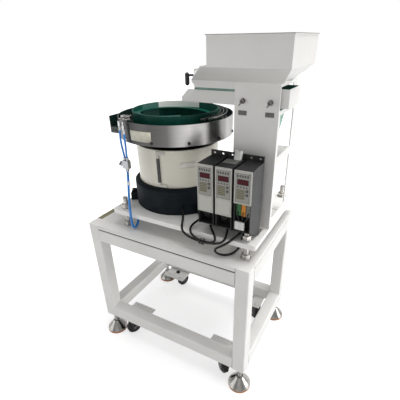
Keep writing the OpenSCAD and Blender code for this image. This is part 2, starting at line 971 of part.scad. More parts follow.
// The straight outlet that leaves the ring at its left, with a flange for the next track
module outlet_chute() {
    ring_r = ring_d / 2;
    len = bowl_y - chute_front;
    color("dimgray") machine() difference() {
        block([chute_left, chute_front, chute_low], [chute_w * 1.6, len * 0.82, chute_h]);
        block([chute_left + chute_t, chute_front - cut, chute_low + chute_floor_h],
            [chute_w * 2, len, chute_h]);
        block([chute_left + chute_t, chute_front + chute_t, chute_low + chute_t],
            [chute_w * 2, len, chute_floor_h - 2 * chute_t]);
        translate([bowl_x, bowl_y, chute_low - cut]) cylinder(r = ring_r, h = chute_h + 2 * cut);
        bar_y([chute_left + chute_hole_in, chute_front - cut, chute_low + chute_floor_h / 2],
            chute_hole_d, chute_t + 2 * cut);
        bar_y([chute_left + chute_w - chute_hole_in, chute_front - cut,
            chute_low + chute_floor_h / 2], chute_hole_d, chute_t + 2 * cut);
    }
}

// Two bent steel jets over the rim, in a clamp block that stands on the track
jet_tops = [laid(jet_hose_1)[0], laid(jet_hose_2)[0]];
jet_bend = 9;
jet_reach = [46, 34];
jet_over = 8;
jet_block_w = 34;
jet_block_d = 12;
sleeve_d = 8;
sleeve_h = 14;

module air_jet(i) {
    high = ring_top + jet_over;
    low = jet_tops[i].z + part_gap;
    translate([jet_tops[i].x, jet_tops[i].y, 0]) {
        post([0, 0, low], sleeve_d, sleeve_h);
        post([0, 0, low], jet_d, high - jet_bend - low);
        translate([0, jet_bend, high - jet_bend]) rotate([90, 0, -90])
            rotate_extrude(angle = 90) translate([jet_bend, 0]) circle(d = jet_d);
        bar_y([0, jet_bend, high], jet_d, jet_reach[i]);
    }
}

module air_jets() {
    high = ring_top + jet_over;
    mid = (jet_tops[0].x + jet_tops[1].x) / 2;
    y = jet_tops[0].y + jet_bend + jet_block_d;
    color("silver") machine() {
        for (i = [0, 1]) air_jet(i);
        block([mid - jet_block_w / 2, y, high - jet_block_d / 2],
            [jet_block_w, jet_block_d, jet_block_d]);
        block([mid - jet_block_w / 4, y, strip_base],
            [jet_block_w / 2, jet_block_d, high - strip_base]);
    }
}

// Air line

module jet_hoses() {
    color("dodgerblue") machine() for (r = [jet_hose_1, jet_hose_2]) swept(laid(r), hose_d);
}

module supply_hose() {
    color("dodgerblue") machine() swept(laid(supply_route), supply_d);
}

valve_w = 22;
valve_d = 14;
valve_h = 26;
valve_socket_d = 9;
valve_socket_h = 9;
valve_port = 5;
fitting_neck_d = 12;
knob_d = 14;
knob_l = 12;
knob_stem_d = 5;

module air_valve() {
    color("silver") machine() translate([valve_x, valve_y, table_h + valve_z]) difference() {
        union() {
            translate([-valve_w / 2, -valve_d / 2, -valve_h / 2]) cube([valve_w, valve_d, valve_h]);
            for (s = [-1, 1]) {
                post([s * valve_port, 0, valve_h / 2], valve_socket_d, valve_socket_h);
            }
            post([0, 0, -valve_h / 2 - valve_socket_h], fitting_neck_d, valve_socket_h);
        }
        translate([-valve_w / 2 - cut, 0, 0]) rotate([0, 90, 0])
            cylinder(r = knob_stem_d / 2 + run_gap, h = valve_w / 2);
    }
}

module valve_knob() {
    color("silver") machine()
        translate([valve_x - valve_w / 2 - part_gap - knob_l, valve_y, table_h + valve_z]) {
            rotate([0, 90, 0]) cylinder(d = knob_d, h = knob_l);
            rotate([0, 90, 0]) cylinder(d = knob_stem_d, h = knob_l + part_gap + valve_w * 0.4);
            translate([0, -knob_d * 0.8, -knob_stem_d / 2])
                cube([knob_l * 0.4, knob_d * 1.6, knob_stem_d]);
        }
}

fitting_d = 18;
fitting_nut_t = 4;

// Under the base plate: the fitting of the supply hose and the gland of the third lead
module hose_fitting() {
    end = last(supply_route);
    lead_end = last(lead_3);
    color("black") machine() {
        post(end, fitting_neck_d, plate_low - end.z);
        translate([end.x, end.y, plate_low - fitting_nut_t]) hex(fitting_d, fitting_nut_t);
        post(lead_end, gland_d, plate_low - lead_end.z);
    }
}

// Column

module column_shell() {
    linear_extrude(col_h) difference() {
        square([col_w, col_d]);
        translate([col_t, col_t]) square([col_w - 2 * col_t, col_d]);
    }
}

module column() {
    inside = col_w - 2 * col_t;
    win_d = col_d - 2 * window_in;
    low_h = shelf_h - col_sill - window_bar;
    high_h = trough_low - shelf_top - window_bar;
    slot_low = trough_low - plate_top - trough_play;
    slot_h = trough_h + trough_back_rise + 2 * trough_play;
    color("whitesmoke") machine() translate([col_left, col_y, plate_top]) {
        difference() {
            column_shell();
            translate([-cut, window_in, col_sill]) cube([col_w + 2 * cut, win_d, low_h]);
            translate([-cut, window_in, shelf_h + window_bar * 0.3])
                cube([col_w + 2 * cut, win_d, high_h - window_bar * 0.3]);
            translate([-cut, trough_front - col_y - trough_play, slot_low])
                cube([col_w + 2 * cut, trough_w + 2 * trough_play, slot_h]);
            for (x = toggles_x()) {
                bar_y([x - col_left, -cut, toggle_h], toggle_bush_d, col_t + 2 * cut);
            }
        }
        translate([col_t, col_t, shelf_h - col_t]) cube([inside, col_d - col_t, col_t]);
        translate([col_t, col_t, 0]) cube([inside, col_flange, col_t]);
        translate([col_t, col_d - col_flange, 0]) cube([inside, col_flange, col_t]);
        translate([col_t, col_d - col_flange, col_h - col_t]) cube([inside, col_flange, col_t]);
    }
}

// Hopper: a box over a funnel whose mouth is shifted over the trough

module funnel_outside() {
    hull() {
        block([hopper_left - hood_step, hopper_front, funnel_top],
            [hopper_w + hood_step, hopper_d, hopper_t]);
        block([mouth_left, col_y, col_top], [mouth_w, mouth_d, hopper_t]);
    }
}

// The funnel's inside narrows to the neck, which stands between the trough's walls
module funnel_inside() {
    hull() {
        block([hopper_left - hood_step + hopper_t, hopper_front + hopper_t, funnel_top],
            [hopper_w + hood_step - 2 * hopper_t, hopper_d - 2 * hopper_t, hopper_t]);
        block([mouth_left + hopper_t, neck_front + hopper_t, col_top - hopper_t],
            [mouth_w - 2 * hopper_t, neck_back - neck_front - 2 * hopper_t, hopper_t]);
    }
}

module neck() {
    low = trough_low + trough_h + neck_clear;
    difference() {
        block([mouth_left, neck_front, low],
            [col_left - part_gap - mouth_left, neck_back - neck_front, col_top - low]);
        block([mouth_left - cut, neck_front + hopper_t, low - cut],
            [mouth_w, neck_back - neck_front - 2 * hopper_t, col_top - low + 2 * cut]);
    }
}

// The sheet in front of the neck, with its lower corner cut off
module apron() {
    w = col_left - part_gap - mouth_left;
    translate([mouth_left, col_y + hopper_t, col_top]) rotate([90, 0, 0])
        linear_extrude(hopper_t) polygon([
            [0, hopper_t / 2], [0, apron_cut - apron_h], [apron_cut, -apron_h],
            [w, -apron_h], [w, hopper_t / 2]
        ]);
}

module hopper() {
    color("whitesmoke") machine() {
        difference() {
            union() {
                block([hopper_left, hopper_front, funnel_top], [hopper_w, hopper_d, hopper_h]);
                funnel_outside();
                block([hopper_left - hem_t, hopper_front - hem_t, hopper_top - hem],
                    [hopper_w + 2 * hem_t, hopper_d + 2 * hem_t, hem]);
            }
            funnel_inside();
            block([hopper_left + hopper_t, hopper_front + hopper_t, funnel_top],
                [hopper_w - 2 * hopper_t, hopper_d - 2 * hopper_t, hopper_h + cut]);
        }
        neck();
        apron();
        block([col_left, neck_back, col_top], [col_w, col_y + col_d - neck_back, hopper_t]);
        difference() {
            block([mouth_left, gate_y, col_top], [guide_t, gate_w, guide_h]);
            bar_x([mouth_left - cut, neck_mid, col_top + lever_shaft_z],
                lever_shaft_d + 2 * run_gap, guide_t + 2 * cut);
        }
    }
}

// A plate that slides on the guide at the funnel's left and sets the depth of the parts
module gate_plate() {
    x = mouth_left - gate_t - part_gap;
    low = trough_low + gate_low;
    slot_low = col_top + lever_shaft_z - gate_travel - lever_shaft_d;
    color("silver") machine() difference() {
        block([x, gate_y, low], [gate_t, gate_w, col_top + gate_above - low]);
        block([x - cut, neck_mid - gate_slot_w / 2, slot_low],
            [gate_t + 2 * cut, gate_slot_w, gate_travel + 2 * lever_shaft_d]);
    }
}

// The lever that clamps the gate: a collar, a stud into the guide and a grip
module clamp_lever() {
    x = mouth_left - gate_t - 2 * part_gap;
    z = col_top + lever_shaft_z;
    grip_x = x - lever_rod_l;
    color("black") machine() {
        bar_x([grip_x, neck_mid, z], lever_shaft_d, mouth_left + guide_t - grip_x);
        bar_x([x - guide_t, neck_mid, z], grip_d, guide_t);
        post([grip_x, neck_mid, z - grip_down], grip_d, grip_down + grip_up);
        translate([grip_x, neck_mid, z + grip_up]) sphere(d = grip_d);
        translate([grip_x, neck_mid, z - grip_down]) sphere(d = grip_d);
    }
}

// Toggle switches in the column's front

module toggle_body(x) {
    z = plate_top + toggle_h;
    translate([x, col_y, z]) difference() {
        union() {
            bar_y([0, -toggle_bush_l, 0], toggle_bush_d - 2 * run_gap,
                toggle_bush_l + col_t + toggle_back_l / 2);
            rotate([90, 0, 0]) hex(toggle_nut_d, toggle_nut_t);
            block([-toggle_back_w / 2, col_t, -toggle_back_w / 2],
                [toggle_back_w, toggle_back_l, toggle_back_w]);
        }
        bar_y([0, -toggle_bush_l - cut, 0], toggle_ball_d + 2 * run_gap, toggle_bush_l + col_t + cut);
        bar_x([-toggle_bush_d, -toggle_bush_l / 2, 0], toggle_pin_d + 2 * run_gap, 2 * toggle_bush_d);
    }
}

module toggle_bodies() {
    color("dimgray") machine() for (x = toggles_x()) {
        toggle_body(x);
        block([x - label_w / 2, col_y - label_t, plate_top + toggle_h - label_drop],
            [label_w, label_t, label_h]);
    }
}

module toggle_lever(x) {
    translate([x, col_y - toggle_bush_l / 2, plate_top + toggle_h]) rotate([toggle_lean, 0, 0]) {
        sphere(d = toggle_ball_d);
        bar_x([-toggle_bush_d * 0.45, 0, 0], toggle_pin_d, toggle_bush_d * 0.9);
        rotate([90, 0, 0])
            cylinder(d1 = toggle_arm_d, d2 = toggle_arm_d * 1.3, h = toggle_arm_l);
        translate([0, -toggle_arm_l, 0]) sphere(d = toggle_arm_d * 1.3);
    }
}

module toggle_lever_left() {
    color("silver") machine() toggle_lever(toggles_x()[0]);
}

module toggle_lever_right() {
    color("silver") machine() toggle_lever(toggles_x()[1]);
}

// Linear feeder: base and head are cut at the lean of the leaf springs between them

feeder_rise = trough_low - shelf_top;
feeder_shift = tan(feeder_lean);
feeder_x = col_left + col_w / 2 - feeder_rise * feeder_shift / 2;

// A block between two heights whose ends follow the springs
module leaning(x1, x2, low, high, w) {
    translate([feeder_x, trough_mid + w / 2, shelf_top]) rotate([90, 0, 0]) linear_extrude(w)
        polygon([
            [x1 + low * feeder_shift, low], [x2 + low * feeder_shift, low],
            [x2 + high * feeder_shift, high], [x1 + high * feeder_shift, high]
        ]);
}

module feeder_base() {
    coil_top = feeder_base_h + feeder_coil_h;
    color("lightslategray") machine() {
        leaning(-feeder_l / 2, feeder_l / 2, 0, feeder_base_h, feeder_w);
        leaning(-feeder_coil_l / 2, feeder_coil_l / 2, feeder_base_h, coil_top, feeder_w * 0.7);
    }
}

module feeder_springs() {
    out = feeder_l / 2;
    low = feeder_base_h / 4;
    high = feeder_rise - feeder_head_h / 4;
    color("lightsteelblue") machine() {
        leaning(out, out + feeder_spring_t, low, high, feeder_w * 0.9);
        leaning(-out - feeder_spring_t, -out, low, high, feeder_w * 0.9);
    }
}

module feeder_head() {
    low = feeder_rise - feeder_head_h;
    color("seagreen") machine() {
        leaning(feeder_fit - feeder_l / 2, feeder_l / 2 - feeder_fit, low, feeder_rise, feeder_w);
        leaning(-feeder_coil_l / 2, feeder_coil_l / 2,
            feeder_base_h + feeder_coil_h + 2 * magnet_gap, low, feeder_w * 0.6);
    }
}

// Trough with an open slanted nose over the bowl and a raised closed end
module trough() {
    len = trough_right - trough_left;
    color("whitesmoke") machine() translate([trough_left, trough_front, trough_low]) difference() {
        union() {
            cube([len, trough_w, trough_h]);
            translate([len - trough_back_l, 0, 0])
                cube([trough_back_l, trough_w, trough_h + trough_back_rise]);
        }
        translate([-cut, trough_t, trough_t])
            cube([len - trough_t + cut, trough_w - 2 * trough_t, trough_h + trough_back_rise]);
        translate([0, -cut, trough_h]) rotate([0, -45, 0])
            translate([-trough_nose, 0, -trough_nose]) cube([2 * trough_nose, trough_w + 2 * cut,
                trough_nose + trough_nose * 0.71]);
    }
}

// A rubber strip on the neck's front that closes the gap over the trough's wall
module trough_skirt() {
    color("seagreen") machine()
        block([mouth_left + guide_t, neck_front - skirt_t, trough_low + trough_h - skirt_low],
            [col_left - mouth_left - guide_t - part_gap, skirt_t, skirt_h]);
}

// Control units on a bracket in front of the column

module unit_bracket() {
    w = 2 * unit_pitch + unit_w;
    h = unit_low + unit_h + unit_tab_h - plate_top;
    color("black") machine() difference() {
        union() {
            block([unit_x, unit_back, plate_top], [w, bracket_t, h]);
            block([unit_x, unit_back, plate_top], [w, bracket_foot, bracket_t]);
        }
        for (i = [0:2]) tab_slots(i);
    }
}

// The two slots of a unit's tab, cut through whatever is behind them
module tab_slots(i) {
    z = unit_low + unit_h + unit_tab_h / 2;
    for (x = [unit_hole_in, unit_w - unit_hole_in]) {
        for (s = [-1, 1]) {
            bar_y([unit_left(i) + x + s * (unit_slot - unit_hole_d) / 2,
                unit_back - unit_tab_t - cut, z], unit_hole_d, unit_tab_t + bracket_t + 2 * cut);
        }
    }
}

// A side wall under a unit that slopes down to the base plate
module unit_wing() {
    foot = plate_top - unit_low;
    rotate([90, 0, 90]) linear_extrude(unit_wall) polygon([
        [0, 0], [unit_d, 0], [unit_d, foot], [unit_d - wing_foot, foot]
    ]);
}

module control_unit(i) {
    lead = laid([lead_1, lead_2, lead_3][i])[0];
    difference() {
        union() {
            translate([unit_left(i), unit_front + panel_t, unit_low]) {
                difference() {
                    cube([unit_w, unit_d - panel_t, unit_h]);
                    translate([recess_wall, -cut, recess_wall])
                        cube([unit_w - 2 * recess_wall, recess_d + cut, recess_h]);
                }
                for (x = [0, unit_w - unit_wall]) translate([x, 0, 0]) unit_wing_fitted();
            }
            block([unit_left(i), unit_back - unit_tab_t, unit_low + unit_h],
                [unit_w, unit_tab_t, unit_tab_h]);
            post(lead, gland_d, unit_low - lead.z);
        }
        tab_slots(i);
    }
}

// The wing starts at the case's front, behind the panel
module unit_wing_fitted() {
    intersection() {
        translate([0, -panel_t, 0]) unit_wing();
        translate([-cut, 0, plate_top - unit_low]) cube([2 * cut + unit_wall, unit_d, unit_low]);
    }
}

module control_units() {
    color("dimgray") machine() for (i = [0:2]) control_unit(i);
}

module key_hole(i, k) {
    z = unit_low + unit_h - key_drop - k * key_step;
    block([unit_left(i) + key_x - key_gap, unit_front - cut, z - key_gap],
        [key_w + 2 * key_gap, panel_t + 2 * cut, key_w + 2 * key_gap]);
}

module unit_panel(i) {
    h = i == 2 ? short_panel_h : long_panel_h;
    top = unit_low + unit_h;
    difference() {
        block([unit_left(i), unit_front, top - h], [unit_w, panel_t, h]);
        block([unit_left(i) + (unit_w - window_w) / 2, unit_front - cut,
            top - window_z / 2 - unit_window_h / 2], [window_w, unit_window_d + cut, unit_window_h]);
        for (k = [0, 1]) key_hole(i, k);
        for (z = [top - panel_in * screw_d, top - h + panel_in * screw_d]) {
            bar_y([unit_left(i) + unit_w - panel_in * screw_d, unit_front - cut, z], screw_d,
                screw_depth + cut);
        }
    }
}

module unit_panels() {
    color("lightgray") machine() for (i = [0:2]) unit_panel(i);
}

// Two rows of plug terminals in each unit's recess
module terminal_blocks() {
    color("green") machine() for (i = [0:2]) {
        for (k = [0:2]) {
            block([unit_left(i) + recess_wall + part_gap + k * terminal_step,
                unit_front + panel_t + recess_d - terminal_d,
                unit_low + recess_wall + recess_h - terminal_low - terminal_h],
                [terminal_w, terminal_d, terminal_h]);
        }
    }
}

module key(i, k) {
    z = unit_low + unit_h - key_drop - k * key_step;
    color("black") machine() block([unit_left(i) + key_x, unit_front - key_out, z],
        [key_w, key_out + key_in, key_w]);
}

module up_key_1() {
    key(0, 0);
}

module down_key_1() {
    key(0, 1);
}

module up_key_2() {
    key(1, 0);
}

module down_key_2() {
    key(1, 1);
}

module up_key_3() {
    key(2, 0);
}

module down_key_3() {
    key(2, 1);
}

// Leads from the units: two to the bowl drive, one up to the linear feeder
module unit_leads() {
    color("black") machine() for (r = [lead_1, lead_2, lead_3]) swept(laid(r), lead_d);
}

table_legs();
table_rails();
table_top();
foot_front_left();
foot_front_right();
foot_back_left();
foot_back_right();
caster_plates();
fork_front_left();
fork_front_right();
fork_back_left();
fork_back_right();
wheel_front_left();
wheel_front_right();
wheel_back_left();
wheel_back_right();
base_plate();
plate_rods();
drive_base();
magnet_coil();
leaf_springs();
drive_cover();
cover_strip();
spring_head();
bowl_ring();
inner_bowl();
spiral_track();
outer_track();
sorting_strips();
bowl_bolt();
outlet_chute();
air_jets();
jet_hoses();
air_valve();
valve_knob();
supply_hose();
hose_fitting();
column();
hopper();
gate_plate();
clamp_lever();
toggle_bodies();
toggle_lever_left();
toggle_lever_right();
feeder_base();
feeder_springs();
feeder_head();
trough();
trough_skirt();
unit_bracket();
control_units();
unit_panels();
terminal_blocks();
up_key_1();
down_key_1();
up_key_2();
down_key_2();
up_key_3();
down_key_3();
unit_leads();
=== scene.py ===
"""Looks of a vibratory bowl feeder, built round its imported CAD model."""

import json
import math
from functools import reduce

import bmesh
import bpy
from mathutils import Matrix, Vector


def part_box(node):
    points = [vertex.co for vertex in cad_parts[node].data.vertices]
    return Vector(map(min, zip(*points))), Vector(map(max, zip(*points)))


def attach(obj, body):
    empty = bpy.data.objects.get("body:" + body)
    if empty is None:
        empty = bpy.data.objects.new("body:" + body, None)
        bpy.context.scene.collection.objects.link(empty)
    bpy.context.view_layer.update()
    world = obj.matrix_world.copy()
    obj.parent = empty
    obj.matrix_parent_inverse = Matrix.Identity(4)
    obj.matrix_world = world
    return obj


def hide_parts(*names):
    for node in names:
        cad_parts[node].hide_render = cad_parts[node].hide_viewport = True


bl_info = {
    "name": "Bowl feeder looks",
    "version": (1, 0, 0),
    "blender": (4, 5, 0),
    "location": "View3D > Sidebar > Feeder",
    "description": "Adds finishes, cords and small details to a vibratory bowl feeder",
    "category": "Object",
}

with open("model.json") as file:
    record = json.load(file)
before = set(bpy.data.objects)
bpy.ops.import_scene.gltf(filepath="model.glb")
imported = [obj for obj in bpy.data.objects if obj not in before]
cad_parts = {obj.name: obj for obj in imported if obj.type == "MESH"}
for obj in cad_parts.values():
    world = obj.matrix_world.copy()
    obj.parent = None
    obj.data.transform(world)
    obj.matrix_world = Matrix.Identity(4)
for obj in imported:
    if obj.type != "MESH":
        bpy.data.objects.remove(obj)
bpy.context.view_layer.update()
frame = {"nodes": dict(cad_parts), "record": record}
NODES = frame["nodes"]

# Sizes and places are in millimetres, measured from the table's front left corner on the floor;
# MM turns them into metres
MM = 0.001


def millimetres(value):
    return round(value / MM, 2)


# Where that corner lies from the origin, and the height of the table top
TOP_LOW, TOP_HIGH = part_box("table_top")
ORIGIN = (-millimetres(TOP_LOW[0]), -millimetres(TOP_LOW[1]))
TABLE = millimetres(TOP_HIGH[2])


def box_of(name):
    """The lowest and the highest corner of a CAD node."""
    return [(millimetres(p[0]) + ORIGIN[0], millimetres(p[1]) + ORIGIN[1], millimetres(p[2]))
            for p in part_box(name)]


# The bowl's axis, the outside of its ring and that of the cover under it
RING_LOW, RING_HIGH = box_of("bowl_ring")
BOWL = ((RING_LOW[0] + RING_HIGH[0]) / 2, (RING_LOW[1] + RING_HIGH[1]) / 2)
RING_R = (RING_HIGH[0] - RING_LOW[0]) / 2
COVER_R = box_of("drive_cover")[1][0] - BOWL[0]

# The control units: left edge of the first, their front, how many there are, their pitch and width
PANELS_LOW, PANELS_HIGH = box_of("unit_panels")
UNIT_X, UNIT_Y = PANELS_LOW[:2]
UNITS = 3
UNIT_PITCH = box_of("up_key_2")[0][0] - box_of("up_key_1")[0][0]
UNIT_W = PANELS_HIGH[0] - UNIT_X - (UNITS - 1) * UNIT_PITCH

# The corners that have a foot and a caster
CORNERS = ("front_left", "front_right", "back_left", "back_right")

# The seam between table top and rails, painted near black as painted shade in its recess
SEAM_SHADE_LOW = box_of("table_rails")[1][2] - 1.0
SEAM_SHADE_TOP = TABLE - 13.1

# The brushed ring carries painted light, painted shade on its left and two painted highlight bands on its
# right: angle and share of its colour
RING_PAINTED_LIGHT = (
    (-180, 0.5), (-100, 0.1), (-65, 0.3), (-45, 1.4), (-15, 0.5), (-2, 1.2), (15, 0.6), (180, 0.5),
)

# Where the bowl's lining ends, and the radii, height and turn of the place that is worn to the steel
RING_LINED_R = 185.5
BOWL_SKIN_R = 138.5
WORN_R = 136.2
WORN_Z = 884.0
WORN_TURN = (0.478, 0.833)

# Routes of the cords, as in the part's source: measured from the table top's front left corner
LEADS = [
    [(462, 66, 98), (462, 66, 90), (470, 52, 83), (486, 38, 74), (499, 27, 63),
     (496, 21, 52), (474, 20, 47), (446, 20, 48), (420, 22, 58), (408, 34, 72),
     (412, 56, 80), (421, 78, 85), (424, 98, 91), (413, 114, 97), (394, 129, 100)],
    [(520, 66, 98), (520, 66, 90), (525, 52, 83), (529, 37, 73), (524, 27, 60),
     (508, 26, 49), (484, 26, 42), (456, 26, 39), (428, 26, 41), (402, 24, 49),
     (386, 24, 62), (381, 32, 76), (375, 50, 88), (363, 68, 97), (351, 86, 100)],
    [(572, 80, 98), (572, 80, 90), (564, 67, 82), (558, 50, 77), (551, 37, 72),
     (541, 27, 62), (526, 19, 51), (509, 17, 40), (500, 19, 28), (506, 24, 15),
     (522, 35, 7), (538, 54, 4), (546, 82, 4), (542, 116, 4), (544, 150, 8),
     (553, 180, 19), (556, 192, 30), (556, 192, 39)],
]
JET_HOSES = [
    [(172, 44, 352), (172, 43, 340), (170, 42, 315), (171, 43, 290), (173, 45, 268),
     (173, 46, 256)],
    [(187, 43, 342), (187, 42, 330), (188, 41, 310), (187, 42, 290), (183, 45, 268),
     (183, 46, 256)],
]
SUPPLY = [
    (178, 46, 212), (178, 45, 200), (179, 40, 165), (181, 32, 125), (183, 27, 90),
    (184, 25.5, 60), (183.5, 26, 42), (182, 30, 24), (179, 39, 10.5), (175, 54, 4.3),
    (171, 69, 10.5), (168, 80, 24), (166, 84, 36), (166, 84, 41),
]

# How many times the bends of a cord are drawn out
EASE = 14


def at(x, y, z):
    """A point measured from the table's front left corner on the floor."""
    return Vector(((x - ORIGIN[0]) / 1000, (y - ORIGIN[1]) / 1000, z / 1000))


def over(x, y, z):
    """The same, with the height measured from the table top."""
    return at(x, y, z + TABLE)


def around(angle, radius, z):
    """A point round the bowl's axis, with its height above the floor."""
    a = math.radians(angle)
    return at(BOWL[0] + radius * math.cos(a), BOWL[1] + radius * math.sin(a), z)


# Sizes and colours that a user would change


def size(name, description, default, low, high):
    return bpy.props.FloatProperty(
        name=name, description=description, default=default, min=low, max=high,
        unit="LENGTH", subtype="DISTANCE",
    )


def tint(name, description, default):
    return bpy.props.FloatVectorProperty(
        name=name, description=description, default=default, size=3, min=0, max=1, subtype="COLOR",
    )


class FeederColours(bpy.types.PropertyGroup):
    white_paint: tint("White paint", "Powder coat of table, column and hopper", (0.80, 0.79, 0.765))
    cover_paint: tint("Cover paint", "Ivory paint of the drive's cover", (0.80, 0.77, 0.66))
    drive_paint: tint("Drive paint", "Slate paint of the drive's base", (0.010, 0.014, 0.017))
    lining: tint("Lining", "Green lining of the bowl", (0.003, 0.075, 0.052))
    steel: tint("Steel", "Brushed stainless steel of the ring", (0.40, 0.39, 0.385))
    hose: tint("Air hose", "Blue air hose", (0.004, 0.23, 0.72))
    lead: tint("Lead", "Jacket of the leads", (0.007, 0.007, 0.008))
    panel: tint("Unit panel", "Printed face of the control units", (0.44, 0.435, 0.395))
    case: tint("Unit case", "Dark case of the control units", (0.026, 0.026, 0.027))


class FeederSizes(bpy.types.PropertyGroup):
    screw_d: size("Ring screw", "Head of a screw on the bowl ring", 0.0095, 0.004, 0.016)
    pull_ring_d: size("Pull ring", "Ring on the air valve", 0.026, 0.014, 0.04)
    plate_t: size("Bare plate", "Thickness of a bare plate", 0.0006, 0.0003, 0.002)


def colours():
    return bpy.context.scene.feeder_colours


def sizes():
    return bpy.context.scene.feeder_sizes


# Materials


def shade(color, k):
    return tuple(min(1, c * k) for c in color)


class Nodes:
    """A small helper that adds nodes to a tree."""

    def __init__(self, tree):
        self.tree = tree

    def join(self, a, b):
        self.tree.links.new(a, b)

    def fill(self, node, inputs):
        """Gives inputs of a node a number, a colour or a link."""
        for key, value in inputs.items():
            socket = node.inputs[key]
            if isinstance(value, (int, float)):
                socket.default_value = value
            elif isinstance(value, tuple):
                socket.default_value = (*value, 1)[:len(socket.default_value)]
            else:
                self.join(value, socket)
        return node

    def add(self, kind, inputs=None, **values):
        node = self.tree.nodes.new(kind)
        for key, value in values.items():
            setattr(node, key, value)
        return self.fill(node, inputs or {})

    def math(self, kind, *values):
        return self.add("ShaderNodeMath", dict(enumerate(values)), operation=kind).outputs[0]

    def spread(self, value, low, high):
        """A value from 0 to 1, spread between two others."""
        return self.add("ShaderNodeMapRange", {"To Min": low, "To Max": high, "Value": value}).outputs[0]


class Shader(Nodes):
    """The nodes of one material."""

    def __init__(self, name, color, metallic=0.0, roughness=0.5, coat=0.0, shine=0.5):
        self.mat = bpy.data.materials.new(name)
        self.mat.use_nodes = True
        super().__init__(self.mat.node_tree)
        self.skin = self.tree.nodes["Principled BSDF"]
        self.fill(self.skin, {
            "Base Color": color, "Metallic": metallic, "Roughness": roughness,
            "Coat Weight": coat, "Coat Roughness": 0.2, "Specular IOR Level": shine,
        })
        self.coords = self.add("ShaderNodeTexCoord").outputs["Object"]
        self.normal = None

    def stretched(self, scale):
        return self.add("ShaderNodeMapping", {"Scale": scale, "Vector": self.coords}).outputs["Vector"]

    def noise(self, scale, detail=3, vector=None, rough=0.5):
        vector = self.coords if vector is None else vector
        inputs = {"Scale": scale, "Detail": detail, "Roughness": rough, "Vector": vector}
        return self.add("ShaderNodeTexNoise", inputs).outputs["Fac"]

    def bands(self, direction, scale):
        """Even stripes across one axis."""
        node = self.add("ShaderNodeTexWave", {"Scale": scale, "Vector": self.coords},
                        wave_type="BANDS", bands_direction=direction)
        return node.outputs["Fac"]

    def ramp(self, value, stops):
        node = self.add("ShaderNodeValToRGB", {"Fac": value})
        while len(node.color_ramp.elements) < len(stops):
            node.color_ramp.elements.new(0.5)
        for element, (place, color) in zip(node.color_ramp.elements, stops):
            element.position = place
            element.color = (*color, 1)
        return node.outputs["Color"]

    def cloud(self, color, dark, light, scale, detail=4):
        """A colour that drifts between a darker and a lighter share of itself."""
        return self.ramp(self.noise(scale, detail), [(0.3, shade(color, dark)), (0.7, shade(color, light))])

    def above(self, value, limit):
        """1 where a value is over a limit."""
        return self.math("GREATER_THAN", value, limit)

    def below(self, value, limit):
        """1 where a value is under a limit."""
        return self.math("LESS_THAN", value, limit)

    def inside(self, value, low, high):
        """1 where a value lies between two limits."""
        return self.math("MULTIPLY", self.above(value, low), self.below(value, high))

    def both(self, *tests):
        return reduce(lambda a, b: self.math("MULTIPLY", a, b), tests)

    def either(self, *tests):
        return reduce(lambda a, b: self.math("MAXIMUM", a, b), tests)

    def axis(self, name, vector=None):
        vector = self.coords if vector is None else vector
        return self.add("ShaderNodeSeparateXYZ", {0: vector}).outputs[name]

    def mixed(self, value, a, b, blend="MIX"):
        """Two colours mixed by a value."""
        node = self.add("ShaderNodeMix", {0: value, 6: a, 7: b}, data_type="RGBA", blend_type=blend)
        return node.outputs[2]

    def paint(self, color):
        self.join(color, self.skin.inputs["Base Color"])

    def metal(self, value):
        self.join(value, self.skin.inputs["Metallic"])

    def gloss(self, value, low, high):
        """Roughness that wanders between two values."""
        self.join(self.spread(value, low, high), self.skin.inputs["Roughness"])

    def relief(self, height, depth, strength=0.5):
        """A bump, on top of the one before it."""
        node = self.add("ShaderNodeBump", {"Strength": strength, "Distance": depth, "Height": height})
        if self.normal is not None:
            self.join(self.normal, node.inputs["Normal"])
        self.normal = node.outputs["Normal"]
        self.join(self.normal, self.skin.inputs["Normal"])

    def grained(self, low, high, gloss_scale, grain, strength=0.25):
        """Gloss that wanders, over a fine grain."""
        self.gloss(self.noise(gloss_scale, 3), low, high)
        self.relief(self.noise(grain, 2), 0.0002, strength)

    def from_bowl(self):
        """How far a point lies from the bowl's axis, across and back."""
        return [self.math("SUBTRACT", self.axis(name), place) for name, place in zip("XY", at(*BOWL, 0))]

    def radius(self):
        """The distance from the bowl's axis."""
        x, y = self.from_bowl()
        return self.math("SQRT", self.math("ADD", self.math("MULTIPLY", x, x), self.math("MULTIPLY", y, y)))

    def turn(self):
        """The angle round the bowl's axis, from -1 to 1."""
        x, y = self.from_bowl()
        return self.math("DIVIDE", self.math("ARCTAN2", y, x), math.pi)


def higher(z):
    """A test for what lies over a height."""
    return lambda s: s.above(s.axis("Z"), z * MM)


def lower(z):
    """A test for what lies under a height."""
    return lambda s: s.below(s.axis("Z"), z * MM)


def powder_coat(name, color, roughness=0.42, variation=0.05):
    """Paint with a faint orange peel, cloudy tone and a few scuffs."""
    s = Shader(name, color, coat=0.15)
    scuff = s.ramp(s.noise(60, 6, rough=0.75), [(0.68, (0, 0, 0)), (0.78, (1, 1, 1))])
    worn = s.math("MULTIPLY", s.axis("X", scuff), 0.35)
    s.paint(s.mixed(worn, s.cloud(color, 1 - variation, 1 + variation, 6), shade(color, 0.72)))
    s.grained(roughness - 0.08, roughness + 0.1, 18, 900)
    return s


def patched_paint(name, color, patches, cloud, gloss, grain=900):
    """Paint with places of another finish: each patch is a test and a function that gives its colour."""
    s = Shader(name, color)
    tone = s.cloud(color, *cloud)
    for test, other in patches:
        tone = s.mixed(test(s), tone, other(s))
    s.paint(tone)
    s.grained(*gloss, grain)
    return s


